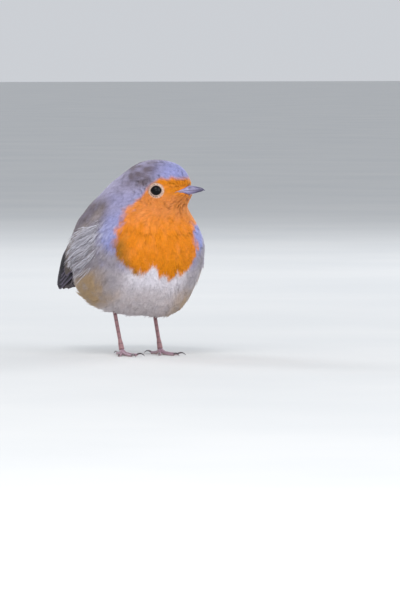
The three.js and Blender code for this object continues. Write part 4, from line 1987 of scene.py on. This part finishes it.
@dataclass
class Leg:
    """One leg: the scaled shank, four toes with their pads and their claws."""

    stage: Stage
    side: int
    stance: float = 9.5  # how far the foot stands from the bird's middle
    foot: tuple[float, float, float] = (0.0, 0.0, 2.3)
    heel: tuple[float, float, float] = (0.4, 10.6, 25.8)
    taper: float = 0.72  # a toe's girth at its tip, of that at its root
    flat: float = 0.13  # how much of a toe's underside the floor presses flat
    scutes: float = 9.0  # how many scutes the shank has down its front

    def sweep(
        self,
        path: Array,
        section: Callable[[Array, Array], tuple[Array, Array]],
        rings: int,
        sides: int,
        tint: Callable[[Array, Array], Array],
    ) -> bpy.types.Object:
        """Draws a rod along a path.

        Args:
            path: Places along it, from the leg's foot, with X towards the outer side.
            section: Gives how far the surface is across and up, at shares of the length and turns.
            rings: How many rings it has.
            sides: How many corners a ring has.
            tint: Gives its colours.

        Returns:
            The rod.
        """
        knots = path * np.array([self.side, 1, 1]) + np.array([self.side * self.stance, 0, 0])

        def place(t: Array, turn: Array) -> Array:
            """Places on the rod, none of them under the floor.

            Args:
                t: Shares of the length.
                turn: Turns about it, in radians.

            Returns:
                The places, in millimetres.
            """
            at = t * (len(knots) - 1)
            low = np.minimum(at.astype(int), len(knots) - 2)
            f = (at - low)[:, None]
            point = knots[low] * (1 - f) + knots[low + 1] * f
            slope = np.gradient(knots, axis=0)
            way = unit(slope[low] * (1 - f) + slope[low + 1] * f)
            upright = np.abs(way[:, 2:]) > 0.8
            top = np.where(upright, np.array([0.0, -1.0, 0.0]), np.array([0.0, 0.0, 1.0]))
            over = across(top, way)
            wide, high = section(t, turn)
            out = point + np.cross(way, over) * wide[:, None] + over * high[:, None]
            out[:, 2] = np.maximum(out[:, 2], 0.0)
            return out

        return shaped(self.stage, rings, sides, place, tint)

    @staticmethod
    def closed(t: Array, share: float) -> Array:
        """Rounds off both ends of a rod over a share of its length."""
        near = np.clip(np.minimum(t, 1 - t) / share, 0, 1)
        return np.sqrt(np.maximum(1 - (1 - near) ** 2, 0.0004))

    def shank(self) -> bpy.types.Object:
        """Makes the shank, with overlapping scutes down its front and a joint at each end.

        Returns:
            The shank.
        """
        path = np.linspace(np.array(self.foot), np.array(self.heel), 30)
        wide = ((0, 1.3), (0.1, 1.15), (0.22, 0.82), (0.75, 0.82), (0.93, 1.15), (1, 1.2))
        deep = ((0, 1.35), (0.1, 1.25), (0.22, 1.0), (0.75, 0.98), (0.93, 1.3), (1, 1.35))

        def section(t: Array, turn: Array) -> tuple[Array, Array]:
            """How far across and up the surface is, with scutes in front and wrinkles behind.

            Args:
                t: Shares of the length.
                turn: Turns about it, in radians.

            Returns:
                The two distances, in millimetres.
            """
            front = smooth(-0.1, 0.5, np.sin(turn))
            scute = 0.1 * ((t * self.scutes) % 1.0) * front * smooth(0.02, 0.1, t)
            scute = scute + 0.03 * np.sin(t * 150) * (1 - front)
            end = self.closed(t, 0.03)
            over = np.cos(turn) * (through(wide, t) + scute * 0.5) * end
            return over, np.sin(turn) * (through(deep, t) + scute) * end

        def tint(t: Array, turn: Array) -> Array:
            """Darker in front, with dark seams between the scutes.

            Args:
                t: Shares of the length.
                turn: Turns about it, in radians.

            Returns:
                One linear colour for each.
            """
            front = smooth(-0.1, 0.5, np.sin(turn))
            colour = mix(Bare.SHANK, Bare.SHANK_FRONT, front * 0.7)
            seam = smooth(0.2, 0.0, (t * self.scutes) % 1.0) * front
            return mix(colour, Bare.SHANK_SEAM, seam * 0.7)

        return self.sweep(path, section, 109, 20, tint)

    def heading(self, toe: Toe, far: Array, height: Array) -> Array:
        """Places along a toe, so far from the foot's middle and so high."""
        turn = math.radians(toe.heading)
        return np.stack([math.sin(turn) * far, -math.cos(turn) * far, height], -1)

    def toe(self, toe: Toe) -> bpy.types.Object:
        """Makes one toe, with scutes on top and pads under it.

        Args:
            toe: Which toe.

        Returns:
            The toe.
        """

        def thick(t: Array | float) -> Array | float:
            """How thick the toe is at shares of its length."""
            return toe.girth * (1 + (self.taper - 1) * t)

        far = (0.2, 0.25 * toe.length, 0.55 * toe.length, toe.length)
        height = (2.2, thick(1 / 3) + 0.1, thick(2 / 3) - self.flat, thick(1.0) - self.flat)
        fine = np.linspace(0, 1, 24)
        rise = through(tuple(zip((0, 0.3, 0.6, 1), height)), fine)
        path = self.heading(toe, np.interp(fine, (0, 0.25, 0.55, 1), far), rise)

        def section(t: Array, turn: Array) -> tuple[Array, Array]:
            """How far across and up the surface is, with scutes on top and pads below.

            Args:
                t: Shares of the length.
                turn: Turns about it, in radians.

            Returns:
                The two distances, in millimetres.
            """
            s = np.sin(turn)
            pads = 0.13 * (np.cos(t * 2 * math.pi * toe.pads) - 0.3) * smooth(0.15, 0.3, t)
            scute = 0.09 * ((t * toe.length * 0.95) % 1.0) * smooth(0.1, 0.6, s)
            end = self.closed(t, 0.05)
            wide = np.cos(turn) * (thick(t) * 0.92 + 0.6 * pads * (s < 0.4)) * end
            high = thick(t) * (1 - 0.12 * (s > 0)) + scute + pads * smooth(0.1, -0.4, s)
            return wide, s * high * end

        def tint(t: Array, turn: Array) -> Array:
            """Paler below, with dark seams between the scutes.

            Args:
                t: Shares of the length.
                turn: Turns about it, in radians.

            Returns:
                One linear colour for each.
            """
            s = np.sin(turn)
            colour = mix(Bare.TOE, Bare.TOE_PAD, smooth(0.1, -0.6, s))
            seam = smooth(0.25, 0.0, (t * toe.length * 0.95) % 1.0) * smooth(0.1, 0.5, s)
            return mix(colour, Bare.TOE_SEAM, seam * 0.65)

        return self.sweep(path, section, 73, 16, tint)

    def claw(self, toe: Toe) -> bpy.types.Object:
        """Makes one curved claw.

        Args:
            toe: The toe that it ends.

        Returns:
            The claw.
        """
        t = np.linspace(0, 1, 14)
        root = toe.length - 0.35
        reach = toe.claw + 0.65
        corners = (
            (root, toe.girth * self.taper * 0.95),
            (root + reach * 0.6, toe.girth + 1.1),
            (root + reach, 0.14),
        )
        far, height = (
            (1 - t) ** 2 * a + 2 * t * (1 - t) * b + t**2 * c for a, b, c in zip(*corners)
        )

        def section(t: Array, turn: Array) -> tuple[Array, Array]:
            """How far across and up the surface is: flatter below.

            Args:
                t: Shares of the length.
                turn: Turns about it, in radians.

            Returns:
                The two distances, in millimetres.
            """
            end = self.closed(t, 0.04)
            size = toe.girth * (0.6 - 0.48 * t)
            s = np.sin(turn)
            return np.cos(turn) * size * 0.78 * end, s * size * (1.05 - 0.35 * (s < 0)) * end

        def tint(t: Array, turn: Array) -> Array:
            """Darker to the tip."""
            return mix(Bare.CLAW_ROOT, Bare.CLAW_TIP, smooth(0.05, 0.6, t))

        return self.sweep(self.heading(toe, far, height), section, 27, 12, tint)

    def build(self, skin: Finish, horn: Finish) -> None:
        """Makes the leg's pieces.

        Args:
            skin: The finish of shank and toes.
            horn: The finish of the claws.
        """
        word = side_word(self.side)
        finished(self.shank(), f"leg_{word}", skin, (f"shank_{word}",))
        toes = join([self.toe(toe) for toe in TOES.values()])
        finished(toes, f"toes_{word}", skin, [f"toe_{word}_{name}" for name in TOES])
        claws = join([self.claw(toe) for toe in TOES.values()])
        finished(claws, f"claws_{word}", horn, [f"claw_{word}_{name}" for name in TOES])


# ---------- The room ----------


@dataclass(frozen=True)
class Lamp:
    """A soft square lamp.

    Its place is in metres from the bird: to the camera's right, towards the camera, and up.
    """

    name: str
    place: tuple[float, float, float]
    size: float
    power: float
    colour: tuple[float, float, float]


LAMPS = (
    Lamp("key", (-0.35, 1.2, 1.25), 0.9, 7.2, (1.0, 0.97, 0.93)),
    Lamp("glint", (-0.1, 0.95, 1.4), 0.3, 3.6, (1.0, 0.98, 0.96)),
    Lamp("low", (0.1, 1.5, 0.22), 0.9, 8.3, (1.0, 0.98, 0.97)),
    Lamp("fill", (1.3, 0.9, 0.6), 1.2, 9.6, (0.93, 0.96, 1.0)),
    Lamp("rim", (-1.0, -1.1, 0.9), 0.6, 9.0, (0.97, 0.98, 1.0)),
    Lamp("rim_right", (0.9, -1.2, 0.7), 0.6, 7.0, (0.97, 0.98, 1.0)),
)


@dataclass(frozen=True)
class Studio:
    """Camera, lamps, sky and floor. The camera is aimed from a place between the feet."""

    azimuth: float = -24.0
    elevation: float = 2.6
    distance: float = 2500.0
    framed: tuple[float, float] = (182.0, 272.8)  # millimetres that the view spans
    aim_right: float = 26.8  # where the view's middle is, right of the feet and over the floor
    aim_up: float = 25.0
    sky: tuple[float, float, float, float] = (0.84, 0.87, 0.92, 1)
    sky_strength: float = 0.72

    def camera(self, stage: Stage) -> None:
        """Makes the camera.

        Args:
            stage: Where the bird is.
        """
        a, e = math.radians(self.azimuth), math.radians(self.elevation)
        back = np.array([math.sin(a) * math.cos(e), -math.cos(a) * math.cos(e), math.sin(e)])
        right = np.array([math.cos(a), math.sin(a), 0.0])
        aim = right * self.aim_right + np.array([0, 0, self.aim_up])
        lens = bpy.data.cameras.new("camera")
        lens.sensor_width = 36.0
        lens.lens = 36.0 * self.distance / self.framed[1]
        lens.clip_start, lens.clip_end = 0.1, 60.0
        camera = bpy.data.objects.new("camera", lens)
        camera.location = Vector(stage.metres(aim + back * self.distance))
        camera.rotation_euler = Vector(-back).to_track_quat("-Z", "Y").to_euler()
        bpy.context.scene.collection.objects.link(camera)
        bpy.context.scene.camera = camera

    def hang(self, lamp: Lamp) -> None:
        """Adds a lamp, placed from the camera's side and aimed at the bird.

        Args:
            lamp: The lamp.
        """
        light = bpy.data.lights.new(lamp.name, "AREA")
        light.size, light.energy, light.color = lamp.size, lamp.power, lamp.colour
        obj = bpy.data.objects.new(lamp.name, light)
        a = math.radians(self.azimuth)
        right, back, up = lamp.place
        obj.location = (
            right * math.cos(a) + back * math.sin(a),
            right * math.sin(a) - back * math.cos(a),
            up,
        )
        aim = Vector((0, 0, 0.05)) - obj.location
        obj.rotation_euler = aim.to_track_quat("-Z", "Y").to_euler()
        bpy.context.scene.collection.objects.link(obj)

    def build(self, stage: Stage) -> None:
        """Makes camera, lamps, sky and floor.

        Args:
            stage: Where the bird is.
        """
        self.camera(stage)
        for lamp in LAMPS:
            self.hang(lamp)
        world = bpy.data.worlds.new("sky")
        world.use_nodes = True
        background = world.node_tree.nodes["Background"]
        background.inputs["Color"].default_value = self.sky
        background.inputs["Strength"].default_value = self.sky_strength
        bpy.context.scene.world = world
        bpy.context.scene.view_settings.view_transform = "Standard"
        clear_selection()
        bpy.ops.mesh.primitive_plane_add(size=40.0, location=(0, 0, 0))
        floor = bpy.context.active_object
        floor.name = "floor"
        paint = Finish("floor_paint", 0.75)
        greys = [(0.3, linear(205, 207, 208)), (0.7, linear(212, 213, 213))]
        paint.colour(paint.ramp(paint.noise(6.0), greys))
        floor.data.materials.append(paint.material)


# ---------- Finishes ----------


@dataclass(frozen=True)
class Mottle:
    """Uneven patches over a finish's colour, each stop a value of the noise and a colour."""

    scale: float  # how many to a metre
    detail: float
    share: float
    dark: tuple[float, tuple[float, float, float]]
    pale: tuple[float, tuple[float, float, float]]


@dataclass(frozen=True)
class Relief:
    """Fine bumps: how many to a metre, how strong they are, and how high in metres."""

    scale: float
    strength: float
    height: float


@dataclass(frozen=True)
class Surface:
    """A finish over the colours that the mesh carries."""

    name: str
    roughness: float
    sockets: dict[str, Any]
    mottle: Mottle | None = None
    relief: Relief | None = None

    def made(self) -> Finish:
        """Makes the material.

        Returns:
            The finish.
        """
        finish = Finish(self.name, self.roughness, **self.sockets)
        colour, mottle, relief = finish.tint(), self.mottle, self.relief
        if mottle:
            uneven = finish.noise(mottle.scale, mottle.detail)
            patches = finish.ramp(uneven, (mottle.dark, mottle.pale))
            colour = finish.blend(mottle.share, colour, patches, "MULTIPLY")
        finish.colour(colour)
        if relief:
            finish.bump(finish.noise(relief.scale), relief.strength, relief.height)
        return finish


@dataclass(frozen=True)
class BarbedSurface(Surface):
    """Stiff feathers: the mesh's colours, with fine barbs slanting off the shaft."""

    barbs: float = 22.0  # how close they are
    slant: float = 5.0
    dark: float = 0.78

    def made(self) -> Finish:
        """Makes the material.

        Returns:
            The finish.
        """
        finish = Finish(self.name, self.roughness, **self.sockets)
        uv = finish.node("ShaderNodeUVMap", {"uv_map": "Vane"}, {}, "UV")
        over = finish.node("ShaderNodeSeparateXYZ", {}, {0: uv}, "X")
        along = Value(finish, over.socket.node.outputs["Y"])
        off_shaft = (over - 0.5).size()
        barbs = ((along * 10.0 - off_shaft * self.slant) * self.barbs).wave() * 0.5 + 0.5
        shade = finish.ramp(barbs, [(0.0, (self.dark,) * 3), (1.0, (1.0,) * 3)])
        finish.colour(finish.blend(1.0, finish.tint(), shade, "MULTIPLY"))
        finish.bump(barbs, 0.35, 0.00008)
        return finish


PLUMAGE = Surface(  # soft and dull, with light that goes a little way in
    "plumage",
    0.75,
    {
        "Sheen_Weight": 0.08,
        "Sheen_Roughness": 0.5,
        "Specular_IOR_Level": 0.16,
        "Subsurface_Weight": 0.22,
        "Subsurface_Scale": 0.0008,
        "Subsurface_Radius": (1.0, 1.0, 1.0),
    },
    Mottle(900.0, 2.0, 0.25, (0.25, (0.45, 0.45, 0.45)), (0.75, (1.0, 1.0, 1.0))),
)
VANES = BarbedSurface("vanes", 0.6, {"Specular_IOR_Level": 0.14})
SKIN = Surface("skin", 0.85, {"Specular_IOR_Level": 0.2}, relief=Relief(1500.0, 0.4, 0.0002))
LEG_SCALES = Surface(  # dry and a little blotchy, with a faint shine
    "leg_scales",
    0.48,
    {"Specular_IOR_Level": 0.45, "Coat_Weight": 0.12, "Coat_Roughness": 0.4},
    Mottle(700.0, 4.0, 0.8, (0.3, (0.72, 0.66, 0.7)), (0.7, (1.0, 1.0, 1.0))),
    Relief(4200.0, 0.35, 0.00006),
)
CLAWS = Surface(  # smooth horn with fine streaks
    "claws",
    0.35,
    {"Specular_IOR_Level": 0.5, "Coat_Weight": 0.25, "Coat_Roughness": 0.25},
    Mottle(1100.0, 5.0, 0.7, (0.3, (0.7, 0.7, 0.74)), (0.75, (1.0, 1.0, 1.0))),
    Relief(2600.0, 0.2, 0.00005),
)
BILL = replace(CLAWS, name="bill", roughness=0.33)
EYEBALL = Surface("eyeball", 0.05, {"Specular_IOR_Level": 0.18})
EYELIDS = Surface(
    "eyelids", 0.55, {"Specular_IOR_Level": 0.35}, relief=Relief(5000.0, 0.3, 0.00004)
)


def main() -> None:
    """Builds the bird and the room."""
    logging.basicConfig(level=logging.INFO, format="%(name)s %(message)s")
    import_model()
    stage = Stage.from_frame()
    rng = np.random.default_rng(SEED)
    Studio().build(stage)
    plumage, vanes = PLUMAGE.made(), VANES.made()
    Skin(stage).build(SKIN.made())
    wings = [FoldedWing(stage, side) for side in (1, -1)]
    for wing in wings:
        wing.build(vanes, rng)
    tail = Tail(stage)
    tail.build(vanes, rng)
    for above in (1.0, -1.0):
        tail_coverts(stage, tail, above, rng).build(plumage, "back" if above > 0 else "belly")
    roots = scatter_roots(wings, rng)
    slots = {area: "breast" for area in (Area.BREAST, Area.THROAT, Area.FACE)}
    slots |= {area: "belly" for area in (Area.BELLY, Area.VENT, Area.SIDES)}
    for k, area in enumerate(AREAS):
        mine = roots.areas == k
        tract = Plumage(stage, area.value, roots.points[mine], roots.normals[mine], wings, rng)
        tract.build(plumage, slots.get(area, "back"))
    plumes = flank_plumes(stage, roots, wings, rng)
    plumes.build(plumage, "belly")
    ball, lids = EYEBALL.made(), EYELIDS.made()
    legs, claws = LEG_SCALES.made(), CLAWS.made()
    for side in (1, -1):
        eye = Eye(stage, side)
        eye.ball(ball)
        eye.rim(lids)
        Leg(stage, side).build(legs, claws)
    bill, horn = Bill(stage), BILL.made()
    bill.half(True, horn)
    bill.half(False, horn)


if __name__ == "__main__":
    main()
